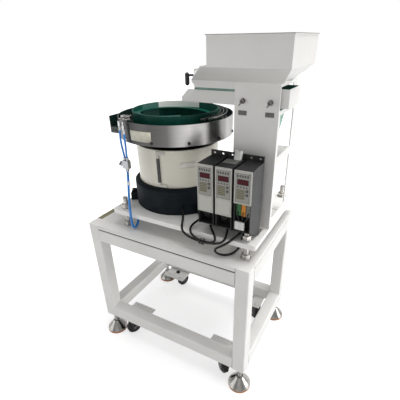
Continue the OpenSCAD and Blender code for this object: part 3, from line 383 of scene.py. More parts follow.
def cast_paint(name, color, roughness=0.5, shine=0.25):
    """Thick paint over a rough casting."""
    s = Shader(name, color, shine=shine)
    s.paint(s.cloud(color, 0.7, 1.35, 25, 6))
    s.gloss(s.noise(40, 3), roughness - 0.1, roughness + 0.12)
    s.relief(s.noise(350, 4), 0.0006, 0.45)
    return s


def brushed(name, color, roughness=0.3, scale=(1, 1, 60)):
    """Metal with fine scratches along one direction."""
    s = Shader(name, color, metallic=1.0)
    grain = s.noise(40, 5, s.stretched(scale), 0.7)
    s.paint(s.ramp(grain, [(0.25, shade(color, 0.82)), (0.75, shade(color, 1.18))]))
    s.gloss(s.noise(22, 4), roughness - 0.06, roughness + 0.12)
    s.relief(grain, 0.0002, 0.2)
    return s


def threaded(name, color, roughness=0.32):
    """Plated steel with a fine thread round vertical rods."""
    s = Shader(name, color, metallic=1.0)
    s.paint(s.ramp(s.noise(90, 5), [(0.3, shade(color, 0.6)), (0.6, color), (0.8, shade(color, 1.2))]))
    s.gloss(s.noise(60, 3), roughness - 0.08, roughness + 0.2)
    s.relief(s.bands("Z", 157), 0.0006, 0.6)
    return s


def moulded(name, color, roughness=0.5, grain=500, shine=0.4, coat=0.0):
    """Moulded plastic or rubber with a fine grain."""
    s = Shader(name, color, coat=coat, shine=shine)
    s.paint(s.cloud(color, 0.85, 1.15, 30))
    s.grained(roughness - 0.06, roughness + 0.08, 50, grain, 0.35)
    return s


def ring_steel(name, color, lining):
    """Brushed stainless steel whose scratches run round the bowl, lined inside, with painted shade and
    painted highlight bands by angle.
    """
    s = Shader(name, color, metallic=1.0)
    turn = s.turn()
    across, up = s.math("MULTIPLY", turn, 3), s.math("MULTIPLY", s.axis("Z"), 900)
    fine = s.noise(1, 4, s.add("ShaderNodeCombineXYZ", {"X": across, "Y": up}).outputs[0], 0.7)
    place = s.math("MULTIPLY_ADD", turn, 0.5, 0.5)
    # painted light: the steel's colour is darkened and brightened by angle round the bowl, as painted shade
    # and painted highlight bands
    tone = s.ramp(place, [((angle + 180) / 360, shade(color, k)) for angle, k in RING_PAINTED_LIGHT])
    streak = s.ramp(fine, [(0.3, (0.82, 0.82, 0.82)), (0.7, (1.18, 1.18, 1.18))])
    wall = s.below(s.radius(), RING_LINED_R * MM)
    s.paint(s.mixed(wall, s.mixed(1.0, tone, streak, "MULTIPLY"), lining))
    s.metal(s.math("SUBTRACT", 1.0, wall))
    s.gloss(fine, 0.24, 0.38)
    s.relief(fine, 0.0001, 0.2)
    return s


def bowl_inside(name, lining, steel):
    """Green lining, worn to bare steel on the back of the wall."""
    s = Shader(name, lining, shine=0.22)
    r = s.radius()
    turn = s.turn()
    wall = s.both(s.above(r, WORN_R * MM), s.below(r, BOWL_SKIN_R * MM))
    band = s.both(wall, higher(WORN_Z)(s), s.inside(turn, *WORN_TURN))
    patchy = s.ramp(s.noise(45, 6, rough=0.7),
                    [(0.35, shade(lining, 0.7)), (0.6, lining), (0.8, shade(lining, 1.6))])
    pale = s.both(s.inside(turn, WORN_TURN[1], 1.0), s.below(r, BOWL_SKIN_R * MM))
    green = s.mixed(s.math("MULTIPLY", pale, 0.55), patchy, (0.10, 0.22, 0.19))
    s.paint(s.mixed(band, green, steel))
    s.metal(s.math("MULTIPLY", band, 0.35))
    s.gloss(s.noise(60, 3), 0.36, 0.5)
    s.relief(s.noise(260, 3), 0.0003, 0.3)
    return s


def two_finishes(name, base, other, test, roughness=0.4, metals=(False, False)):
    """Two finishes on one piece, split where test(shader) is 1, each of them metal or not."""
    s = Shader(name, base, metallic=float(all(metals)))
    place = test(s)
    s.paint(s.mixed(place, s.cloud(base, 0.85, 1.15, 40), s.cloud(other, 0.85, 1.15, 70)))
    if metals[0] != metals[1]:
        s.metal(place if metals[1] else s.math("SUBTRACT", 1.0, place))
    s.grained(roughness - 0.06, roughness + 0.1, 60, 500, 0.3)
    return s


# The printed face of a unit: heights above the floor, and places across from its left edge
FACE_FIELD = (4, 44, 724, 804)
FACE_LINE = 1
FACE_PATCH = (7, 30, 733, 761)
FACE_LOW = (5, 43, 678, 718)
FACE_BEZEL = (8, 40, 773, 789)
RULE_PITCH, RULE_W = 5, 1.6

# Rows of marks on it: the field of a row, its pitch, and where a mark begins and ends
FACE_ROWS = (((6, 41, 793.5, 800), 7, 1.2, 5.8), ((8, 40, 765, 769.5), 8, 1, 5))


def printed_panel(name, color):
    """The printed face of a control unit: bare fields, rows of marks and a ruled patch."""
    s = Shader(name, color)
    along = s.math("DIVIDE", s.math("SUBTRACT", s.axis("X"), at(UNIT_X, 0, 0).x), UNIT_PITCH / 1000)
    u = s.math("MULTIPLY", s.math("FRACT", along), UNIT_PITCH)
    z = s.math("MULTIPLY", s.axis("Z"), 1000)

    def block(left, right, low, high):
        return s.both(s.inside(u, left, right), s.inside(z, low, high))

    def row(place, pitch, start, end):
        steps = s.math("MODULO", s.math("SUBTRACT", u, place[0]), pitch)
        return s.both(s.inside(steps, start, end), block(*place))

    field = block(*FACE_FIELD)
    left, right, low, high = FACE_FIELD
    core = block(left + FACE_LINE, right - FACE_LINE, low + FACE_LINE, high - FACE_LINE)
    outline = s.math("SUBTRACT", field, core)
    patch = block(*FACE_PATCH)
    ruled = s.both(patch, s.below(s.math("MODULO", z, RULE_PITCH), RULE_W))
    tone = s.mixed(field, s.cloud(color, 0.9, 1.08, 60), shade(color, 0.62))
    tone = s.mixed(patch, tone, (0.19, 0.175, 0.10))
    tone = s.mixed(block(*FACE_LOW), tone, shade(color, 1.12))
    ink = s.either(outline, *(row(*marks) for marks in FACE_ROWS), ruled, block(*FACE_BEZEL))
    s.paint(s.mixed(ink, tone, (0.035, 0.034, 0.034)))
    s.grained(0.30, 0.44, 50, 700, 0.3)
    return s


def dress(names, shader):
    """Gives CAD nodes a finish."""
    for name in names:
        materials = NODES[name].data.materials
        materials.clear()
        materials.append(shader.mat)


# The nodes that share a plain finish, then its kind, name, colour and that kind's other values
PLAIN_FINISHES = (
    ([f"fork_{c}" for c in CORNERS], moulded, "fork black", (0.009, 0.009, 0.010), 0.4, 300, 0.3),
    ([f"wheel_{c}" for c in CORNERS], moulded, "wheel tread", (0.009, 0.009, 0.010), 0.5, 400, 0.3),
    (["plate_rods"], threaded, "threaded rod", (0.62, 0.60, 0.57), 0.22),
    (["magnet_coil"], moulded, "winding", (0.25, 0.08, 0.03), 0.4),
    (["leaf_springs"], brushed, "spring steel", (0.45, 0.46, 0.48)),
    (["spring_head"], cast_paint, "black head", (0.010, 0.010, 0.011), 0.45),
    (["outer_track"], moulded, "black track lining", (0.006, 0.010, 0.009), 0.4, 260, 0.25),
    (["sorting_strips", "bowl_bolt"], brushed, "strip steel", (0.50, 0.50, 0.49), 0.3, (60, 1, 1)),
    (["outlet_chute"], moulded, "chute coating", (0.006, 0.020, 0.018), 0.34, 300),
    (["unit_leads", "hose_fitting"], moulded, "black gland", (0.015, 0.015, 0.016), 0.45),
    (["air_valve", "valve_knob"], brushed, "plated valve", (0.30, 0.31, 0.32), 0.25, (1, 1, 20)),
    (["gate_plate"], brushed, "gate steel", (0.58, 0.58, 0.57), 0.32, (1, 60, 1)),
    (["clamp_lever"], moulded, "lever plastic", (0.012, 0.012, 0.013), 0.4),
    (["toggle_lever_left", "toggle_lever_right"], brushed, "toggle steel", (0.34, 0.33, 0.32), 0.26),
    (["feeder_base"], cast_paint, "feeder base paint", (0.13, 0.135, 0.13), 0.45),
    (["feeder_head"], cast_paint, "feeder green", (0.20, 0.45, 0.33), 0.4),
    (["trough_skirt"], moulded, "skirt rubber", (0.25, 0.42, 0.36), 0.45),
    ([f"{kind}_key_{i + 1}" for kind in ("up", "down") for i in range(UNITS)], moulded, "key",
     (0.028, 0.028, 0.028), 0.45),
)


# Meshes and curves


def add_object(name, data, shader, body):
    """An object of one material that rides on a body."""
    data.materials.append(shader.mat)
    obj = bpy.data.objects.new(name, data)
    bpy.context.scene.collection.objects.link(obj)
    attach(obj, body)
    return obj


def make_piece(bm, name, shader, body, bevel=0.0, smooth=True):
    """Turns a bmesh into a piece."""
    bmesh.ops.remove_doubles(bm, verts=bm.verts, dist=1e-6)
    bmesh.ops.recalc_face_normals(bm, faces=bm.faces)
    mesh = bpy.data.meshes.new(name)
    bm.to_mesh(mesh)
    bm.free()
    obj = add_object(name, mesh, shader, body)
    if bevel:
        edge = obj.modifiers.new("Bevel", "BEVEL")
        edge.width = bevel
        edge.segments = 2
        edge.limit_method = "ANGLE"
    if smooth:
        for face in mesh.polygons:
            face.use_smooth = True
        mesh.set_sharp_from_angle(angle=math.radians(35))
    return obj


def add_box(bm, low, high, matrix=None):
    """A box between two points, in metres."""
    low, high = Vector(low), Vector(high)
    place = Matrix.Translation((low + high) / 2) @ Matrix.Diagonal((*(high - low), 1))
    bmesh.ops.create_cube(bm, size=1.0, matrix=(matrix or Matrix()) @ place)


def add_rod(bm, start, end, radius, sides=20, top_radius=None):
    """A round bar between two points."""
    line = end - start
    spin = line.to_track_quat("Z", "Y").to_matrix().to_4x4()
    bmesh.ops.create_cone(
        bm, cap_ends=True, segments=sides, radius1=radius,
        radius2=radius if top_radius is None else top_radius, depth=line.length,
        matrix=Matrix.Translation((start + end) / 2) @ spin,
    )


def add_ring(bm, center, axis, radius, wire, turns=32):
    """A torus, spun from a small circle."""
    spin = Vector(axis).to_track_quat("Z", "Y").to_matrix().to_4x4()
    place = Matrix.Translation(center) @ spin
    start = place @ Matrix.Translation((radius, 0, 0)) @ Matrix.Rotation(math.radians(90), 4, "X")
    made = bmesh.ops.create_circle(bm, cap_ends=False, segments=10, radius=wire, matrix=start)
    edges = list({e for v in made["verts"] for e in v.link_edges})
    bmesh.ops.spin(
        bm, geom=made["verts"] + edges, cent=center, axis=spin.to_3x3() @ Vector((0, 0, 1)),
        angle=math.radians(360), steps=turns, use_merge=True,
    )


def smooth_path(points, steps=6):
    """Points on a smooth curve through the given ones."""
    ends = [2 * points[0] - points[1]] + points + [2 * points[-1] - points[-2]]
    path = []
    for i in range(1, len(ends) - 2):
        a, b, c, d = ends[i - 1 : i + 3]
        for k in range(steps):
            t = k / steps
            path.append(
                0.5 * (2 * b + (c - a) * t + (2 * a - 5 * b + 4 * c - d) * t * t
                       + (3 * b - a - 3 * c + d) * t ** 3)
            )
    path.append(points[-1])
    return path


def eased(path, rounds):
    """The same path with its tightest bends drawn out; both ends stay put."""
    for _ in range(rounds):
        middle = [(a + 2 * b + c) / 4 for a, b, c in zip(path[1:], path[2:-2], path[3:])]
        path = path[:2] + middle + path[-2:]
    return path


def add_curve(name, path, radius, shader):
    """A round cord along a path."""
    curve = bpy.data.curves.new(name, "CURVE")
    curve.dimensions = "3D"
    curve.bevel_depth = radius
    curve.bevel_resolution = 3
    curve.use_fill_caps = True
    line = curve.splines.new("POLY")
    line.points.add(len(path) - 1)
    for point, place in zip(line.points, path):
        point.co = (*place, 1)
    line.use_smooth = True
    return add_object(name, curve, shader, "frame")


def free_cord(name, route, diameter, shader, node):
    """A lead or hose that stands for its plain tube in the CAD model."""
    path = eased(smooth_path([over(*p) for p in route]), EASE)
    cord = add_curve(name, path, diameter / 2, shader)
    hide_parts(node)


# Operators


class FEEDER_OT_stage(bpy.types.Operator):
    """Adds the camera, the lamps, the sky and the floor"""

    bl_idname = "feeder.stage"
    bl_label = "Stage"

    # the camera, solved from the straight edges of the photograph: turn, fall and roll in degrees,
    # its place over the table top's corner, then its focal length and shift in a frame this wide
    ANGLES = (28.91, 28.57, -0.89)
    EYE = (871.27, -693.93, 575.3)
    FRAME_W = 400
    FOCAL = 328.25
    SHIFT = (-7.23, 17.53)
    SENSOR = 36.0

    # name, place in metres, width and power of each lamp, and the point that all of them face
    LAMPS = (
        ("key", (5.0, 0.8, 1.5), 2.4, 106),
        ("fill", (-2.4, -2.4, 0.6), 2.2, 21),
        ("front", (1.4, -3.2, 1.2), 2.4, 5),
        ("top", (0.7, 0.3, 3.4), 2.0, 84),
    )
    AIM = (0.05, 0, 0.6)

    # half the floor's width, how far from the middle its own light rises, and from what to what
    FLOOR = 12
    GLOW = {"From Min": 0.3, "From Max": 1.4, "To Min": 0.62, "To Max": 1.0}

    # the sky's strength for the lit object and for the camera
    SKY = (0.45, 1.0)

    def execute(self, context):
        scene = context.scene
        scene.view_settings.view_transform = "Standard"
        self.camera(scene)
        self.floor(scene)
        self.sky(scene)
        for lamp in self.LAMPS:
            self.lamp(scene, *lamp)
        return {"FINISHED"}

    def camera(self, scene):
        turn, fall, roll = (math.radians(a) for a in self.ANGLES)
        look = Vector((-math.sin(turn) * math.cos(fall), math.cos(turn) * math.cos(fall), -math.sin(fall)))
        side = Vector((math.cos(turn), math.sin(turn), 0))
        rise = side.cross(look)
        right = math.cos(roll) * side + math.sin(roll) * rise
        up = -math.sin(roll) * side + math.cos(roll) * rise
        facing = Matrix((right, up, -look)).transposed().to_4x4()
        camera = bpy.data.objects.new("camera", bpy.data.cameras.new("camera"))
        scene.collection.objects.link(camera)
        camera.matrix_world = Matrix.Translation(over(*self.EYE)) @ facing
        camera.data.sensor_width = self.SENSOR
        camera.data.lens = self.FOCAL / self.FRAME_W * self.SENSOR
        camera.data.shift_x = self.SHIFT[0] / self.FRAME_W
        camera.data.shift_y = self.SHIFT[1] / self.FRAME_W
        camera.data.clip_end = 50
        scene.camera = camera

    def floor(self, scene):
        bm = bmesh.new()
        bmesh.ops.create_grid(bm, x_segments=1, y_segments=1, size=self.FLOOR)
        mesh = bpy.data.meshes.new("floor")
        bm.to_mesh(mesh)
        bm.free()
        obj = bpy.data.objects.new("floor", mesh)
        scene.collection.objects.link(obj)
        s = Shader("pale floor", (0.55, 0.55, 0.55), roughness=0.6)
        rays = s.add("ShaderNodeLightPath").outputs
        seen = s.math("MAXIMUM", rays["Is Camera Ray"], rays["Is Glossy Ray"])
        far = s.add("ShaderNodeVectorMath", {0: s.coords}, operation="LENGTH").outputs["Value"]
        level = s.add("ShaderNodeMapRange", {**self.GLOW, "Value": far}).outputs[0]
        light = s.math("MULTIPLY", seen, level)
        glow = s.add("ShaderNodeEmission", {"Color": (1, 1, 1), "Strength": light})
        both = s.add("ShaderNodeAddShader", {0: s.skin.outputs[0], 1: glow.outputs[0]})
        s.join(both.outputs[0], s.tree.nodes["Material Output"].inputs["Surface"])
        mesh.materials.append(s.mat)

    def sky(self, scene):
        world = bpy.data.worlds.new("studio")
        world.use_nodes = True
        scene.world = world
        n = Nodes(world.node_tree)
        rays = n.add("ShaderNodeLightPath").outputs
        seen = n.math("MAXIMUM", rays["Is Camera Ray"], rays["Is Transmission Ray"])
        n.fill(n.tree.nodes["Background"], {"Color": (1, 1, 1), "Strength": n.spread(seen, *self.SKY)})

    def lamp(self, scene, name, place, width, power):
        light = bpy.data.lights.new(name, "AREA")
        light.shape = "SQUARE"
        light.size = width
        light.energy = power
        obj = bpy.data.objects.new(name, light)
        scene.collection.objects.link(obj)
        toward = Vector(self.AIM) - Vector(place)
        obj.matrix_world = Matrix.Translation(place) @ toward.to_track_quat("-Z", "Y").to_matrix().to_4x4()


class FEEDER_OT_cords(bpy.types.Operator):
    """Lays the leads and the air hoses along their routes"""

    bl_idname = "feeder.cords"
    bl_label = "Leads and air hoses"

    # how thick the cords are
    LEAD_D = 7 * MM
    JET_HOSE_D = 6 * MM
    SUPPLY_D = 8 * MM

    def execute(self, context):
        c = colours()
        jacket = moulded("lead jacket", tuple(c.lead), 0.4, 300, 0.25)
        blue = moulded("air hose", tuple(c.hose), 0.28, 200, coat=0.3)
        for i, route in enumerate(LEADS):
            free_cord(f"lead_{i + 1}", route, self.LEAD_D, jacket,
                      "unit_leads")
        for i, route in enumerate(JET_HOSES):
            free_cord(f"jet_hose_{i + 1}", route, self.JET_HOSE_D, blue,
                      "jet_hoses")
        free_cord("air_supply", SUPPLY, self.SUPPLY_D, blue, "supply_hose")
        return {"FINISHED"}


class FEEDER_OT_finishes(bpy.types.Operator):
    """Gives every CAD node its finish"""

    bl_idname = "feeder.finishes"
    bl_label = "Finishes of the CAD nodes"

    # where one finish ends and the other begins: heights from the node's foot or its top
    PAD_TOP = 9.5
    STEM_FROM = 45.0
    STRIP_CLIPS = (15.0, 21.0)
    JET_BLOCK_TOP = 366.4
    TAG_TOP = 14.0
    BRACKET_FOOT = 40.0
    SPRING_FOOT_SHARE = 0.45
    HOPPER_EDGE = 1.2
    TROUGH_WALL = 2.6
    # width of the painted reflection along the table top's left edge, and the depth of the top face that it
    # covers
    SHEEN_STRIP_W = 22.0
    SHEEN_STRIP_SKIN = 0.5
    GREEN_BLOCK, ORANGE_BLOCK = 15.5, 29.5

    def execute(self, context):
        c = colours()
        white = tuple(c.white_paint)
        sheet = shade(white, 0.98)
        green = tuple(c.lining)
        for names, kind, *values in PLAIN_FINISHES:
            dress(names, kind(*values))
        dress(["table_legs", "caster_plates"], powder_coat("white table paint", white))
        dress(["table_rails"], self.rails(white))
        dress(["table_top"], self.table_top(white))
        dress(["base_plate"], powder_coat("base plate paint", shade(white, 1.08), 0.36, 0.06))
        dress(["column"], powder_coat("white sheet paint", sheet, 0.38, 0.04))
        dress(["hopper"], self.hopper(sheet))
        dress([f"foot_{corner}" for corner in CORNERS], self.foot())
        dress(["drive_base"], cast_paint("slate casting", tuple(c.drive_paint), 0.6, 0.08))
        dress(["feeder_springs"], self.feeder_springs())
        dress(["drive_cover"], powder_coat("ivory cover", tuple(c.cover_paint), 0.36, 0.05))
        dress(["cover_strip"], self.cover_strip())
        dress(["bowl_ring"], ring_steel("ring steel", tuple(c.steel), (0.006, 0.022, 0.018)))
        dress(["inner_bowl"], bowl_inside("bowl lining", green, (0.88, 0.87, 0.84)))
        dress(["spiral_track"], moulded("track lining", green, 0.42, 260, 0.22))
        dress(["air_jets"], self.jets())
        dress(["jet_hoses", "supply_hose"], moulded("hose solid", tuple(c.hose), 0.3))
        dress(["toggle_bodies"], self.toggles())
        dress(["trough"], self.trough(white, green))
        dress(["unit_bracket"], self.bracket())
        dress(["control_units"], self.cases(tuple(c.case)))
        dress(["unit_panels"], printed_panel("unit panel", tuple(c.panel)))
        dress(["terminal_blocks"], self.terminals())
        return {"FINISHED"}

    def foot(self):
        """Plated bell over a rubber pad, with a thread on the stem."""
        s = two_finishes("foot plating", (0.38, 0.37, 0.35), (0.42, 0.17, 0.05),
                         lower(self.PAD_TOP), 0.2, (True, False))
        s.relief(s.math("MULTIPLY", s.bands("Z", 157), higher(self.STEM_FROM)(s)), 0.0005)
        return s

    def feeder_springs(self):
        """Green laminate, dark at its foot."""
        foot, top = (p[2] for p in box_of("feeder_springs"))
        edge = foot + self.SPRING_FOOT_SHARE * (top - foot)
        return two_finishes("feeder springs", (0.045, 0.045, 0.043), (0.16, 0.40, 0.30), higher(edge), 0.45)

    def rails(self, color):
        """Paint, with painted shade on the faces that lie in the seam under the table top."""
        # painted shade: the top of the rails, in the seam under the table top, is painted near black
        patches = [(higher(SEAM_SHADE_LOW), lambda s: (0.03, 0.03, 0.03))]
        return patched_paint("rail paint", color, patches, (0.95, 1.05, 6), (0.34, 0.52, 18))

    def table_top(self, color):
        """Paint, with a painted greenish reflection along the left edge and painted shade in the seam under
        the top.
        """
        # painted reflection: an olive strip on the top face along the left edge stands for a greenish sheen
        def painted_sheen(s):
            return s.both(s.below(s.axis("X"), at(self.SHEEN_STRIP_W, 0, 0).x), higher(TABLE - self.SHEEN_STRIP_SKIN)(s))

        # painted shade: the lowest layer of the table top, in the seam's recess, is painted near black
        patches = [(painted_sheen, lambda s: (0.23, 0.215, 0.12)), (lower(SEAM_SHADE_TOP), lambda s: (0.02, 0.02, 0.02))]
        return patched_paint("table top paint", color, patches, (0.93, 1.05, 8, 5), (0.34, 0.5, 20), 800)

    def hopper(self, color):
        """Paint, with a dark cut edge round the top."""
        edge = box_of("hopper")[1][2] - self.HOPPER_EDGE
        patches = [(higher(edge), lambda s: (0.16, 0.16, 0.15))]
        return patched_paint("hopper paint", color, patches, (0.96, 1.04, 5), (0.34, 0.48, 18))

    def trough(self, white, green):
        """Paint outside, green lining on the floor and the walls inside."""
        (_, front, foot), (right, back, _) = box_of("trough")
        low = at(0, front + self.TROUGH_WALL, 0).y
        high = at(0, back - self.TROUGH_WALL, 0).y
        end = at(right - self.TROUGH_WALL, 0, 0).x

        def inner(s):
            walls = s.both(s.inside(s.axis("Y"), low, high), s.below(s.axis("X"), end))
            return s.both(walls, higher(foot + self.TROUGH_WALL)(s))

        patches = [(inner, lambda s: s.cloud(green, 0.8, 1.2, 60))]
        return patched_paint("trough paint", white, patches, (0.95, 1.03, 5), (0.34, 0.46, 30), 700)

    def cover_strip(self):
        """A dark strip between two pale clips."""
        foot, top = (p[2] for p in box_of("cover_strip"))
        low, high = (foot + self.STRIP_CLIPS[0]) * MM, (top - self.STRIP_CLIPS[1]) * MM

        def clips(s):
            return s.math("SUBTRACT", 1.0, s.inside(s.axis("Z"), low, high))

        return two_finishes("cover strip", (0.014, 0.014, 0.015), (0.62, 0.61, 0.55), clips, 0.4)

    def jets(self):
        """Bright tubes under a darker block."""
        return two_finishes("jet tube", (0.50, 0.51, 0.52), (0.24, 0.235, 0.23),
                            higher(TABLE + self.JET_BLOCK_TOP), 0.3, (True, True))

    def toggles(self):
        """Plated switches over bare grey tags."""
        edge = box_of("toggle_bodies")[0][2] + self.TAG_TOP
        return two_finishes("toggle body", (0.20, 0.19, 0.18), (0.10, 0.10, 0.095),
                            lower(edge), 0.28, (True, False))

    def bracket(self):
        """Black flange over a bare steel foot."""
        edge = box_of("unit_bracket")[0][2] + self.BRACKET_FOOT
        return two_finishes("bracket black", (0.012, 0.012, 0.013), (0.36, 0.34, 0.31),
                            lower(edge), 0.34, (False, True))

    def cases(self, color):
        """Dark sheet with faint lines across."""
        s = Shader("unit case", color, shine=0.2)
        s.paint(s.cloud(color, 0.8, 1.25, 30, 5))
        grain = s.noise(60, 4, s.stretched((1, 40, 1)))
        s.gloss(grain, 0.38, 0.55)
        s.relief(grain, 0.0002, 0.3)
        return s

    def terminals(self):
        """A green, an orange and a grey block, side by side."""
        last = UNIT_X + (UNITS - 1) * UNIT_PITCH
        s = Shader("terminals", (0.05, 0.22, 0.08), roughness=0.4)
        x = s.axis("X")
        orange = s.above(x, at(last + self.GREEN_BLOCK, 0, 0).x)
        grey = s.above(x, at(last + self.ORANGE_BLOCK, 0, 0).x)
        first = s.mixed(orange, (0.035, 0.19, 0.06), (0.70, 0.26, 0.02))
        grain = s.ramp(s.noise(90, 3), [(0.3, (0.12, 0.12, 0.10)), (0.7, (0.20, 0.19, 0.16))])
        s.paint(s.mixed(grey, first, grain))
        s.relief(s.bands("X", 78), 0.0008, 0.6)
        return s


class FEEDER_OT_bowl_details(bpy.types.Operator):
    """Adds the ring's screws, the bare plates of ring and cover, and the rails over the track"""

    bl_idname = "feeder.bowl_details"
    bl_label = "Bowl details"

    # angles of the screws, their height, and how far foot, rim, top and socket stand off the ring
    BLACK_SCREWS = (-80, -46, -14, 16, 48, 80, 112, 144)
    BRIGHT_SCREW = -112
    SCREW_Z = 837
    SCREW_FOOT, SCREW_RIM, SCREW_TOP = -0.4, 1.6, 3.0
    SOCKET = (2.6, 3.3)
    DOME_SHARE = 0.62
    SOCKET_SHARE = 0.4

    # angle, width, height and middle height of the bare plates, and their gap to the wall
    RING_PLATE = (-91.4, 76, 30, 854)
    COVER_PLATE = (-44, 50, 20, 755)
    PLATE_GAP = 0.1

    # radius, first and last angle of each rail, then their foot, height and half their thickness
    RAILS = ((146, -24, 50), (157, -30, 60), (168, -22, 68))
    RAIL_Z = 888.5
    RAIL_H = 8
    RAIL_HALF = 0.7

    def execute(self, context):
        black = moulded("screw black", (0.012, 0.012, 0.013), 0.35)
        bright = brushed("screw steel", (0.66, 0.65, 0.62), 0.2)
        self.screws("ring_screws", self.BLACK_SCREWS, black)
        self.screws("ring_screw_bright", (self.BRIGHT_SCREW,), bright)
        self.curved_plate("ring_plate", self.RING_PLATE, RING_R,
                          moulded("bare plate", (0.66, 0.64, 0.53), 0.4), "bowl", "bowl_steel")
        self.curved_plate("cover_plate", self.COVER_PLATE, COVER_R,
                          moulded("bare cover plate", (0.80, 0.79, 0.72), 0.4), "frame", "cover_paint")
        self.rails()
        return {"FINISHED"}

    def screws(self, name, angles, shader):
        """Domed heads with a hexagon socket, all round the ring."""
        bm = bmesh.new()
        r = sizes().screw_d / 2
        for angle in angles:
            foot, rim, top, socket, end = (
                around(angle, RING_R + out, self.SCREW_Z)
                for out in (self.SCREW_FOOT, self.SCREW_RIM, self.SCREW_TOP, *self.SOCKET)
            )
            add_rod(bm, foot, rim, r)
            add_rod(bm, rim, top, r, top_radius=r * self.DOME_SHARE)
            add_rod(bm, socket, end, r * self.SOCKET_SHARE, 6)
        make_piece(bm, name, shader, "bowl")

    def curved_plate(self, name, plate, wall, shader, body, slot):
        """A thin plate that follows a round wall."""
        angle, width, height, z = plate
        radius = wall + self.PLATE_GAP
        start = angle - math.degrees(width / radius) / 2
        bm = bmesh.new()
        verts = [bm.verts.new(around(start, radius, z + side * height / 2)) for side in (-1, 1)]
        edge = bm.edges.new(verts)
        bmesh.ops.spin(
            bm, geom=[*verts, edge], cent=at(*BOWL, 0), axis=(0, 0, 1),
            angle=width / radius, steps=10, use_merge=False,
        )
        skin = make_piece(bm, name, shader, body).modifiers.new("Solidify", "SOLIDIFY")
        skin.thickness = sizes().plate_t
        skin.offset = 1.0

    def rails(self):
        """Thin bent rails over the outer track, which steer the parts."""
        bm = bmesh.new()
        top = self.RAIL_Z + self.RAIL_H
        for radius, start, end in self.RAILS:
            inner, outer = radius - self.RAIL_HALF, radius + self.RAIL_HALF
            corners = [around(start, r, z) for r, z in
                       ((inner, self.RAIL_Z), (outer, self.RAIL_Z), (outer, top), (inner, top))]
            face = bm.faces.new([bm.verts.new(c) for c in corners])
            bmesh.ops.spin(bm, geom=[face, *face.edges, *face.verts], cent=at(*BOWL, 0), axis=(0, 0, 1),
                           angle=math.radians(end - start), steps=24, use_merge=False)
        make_piece(bm, "track_rails", brushed("rail steel", (0.62, 0.62, 0.60), 0.25), "bowl")


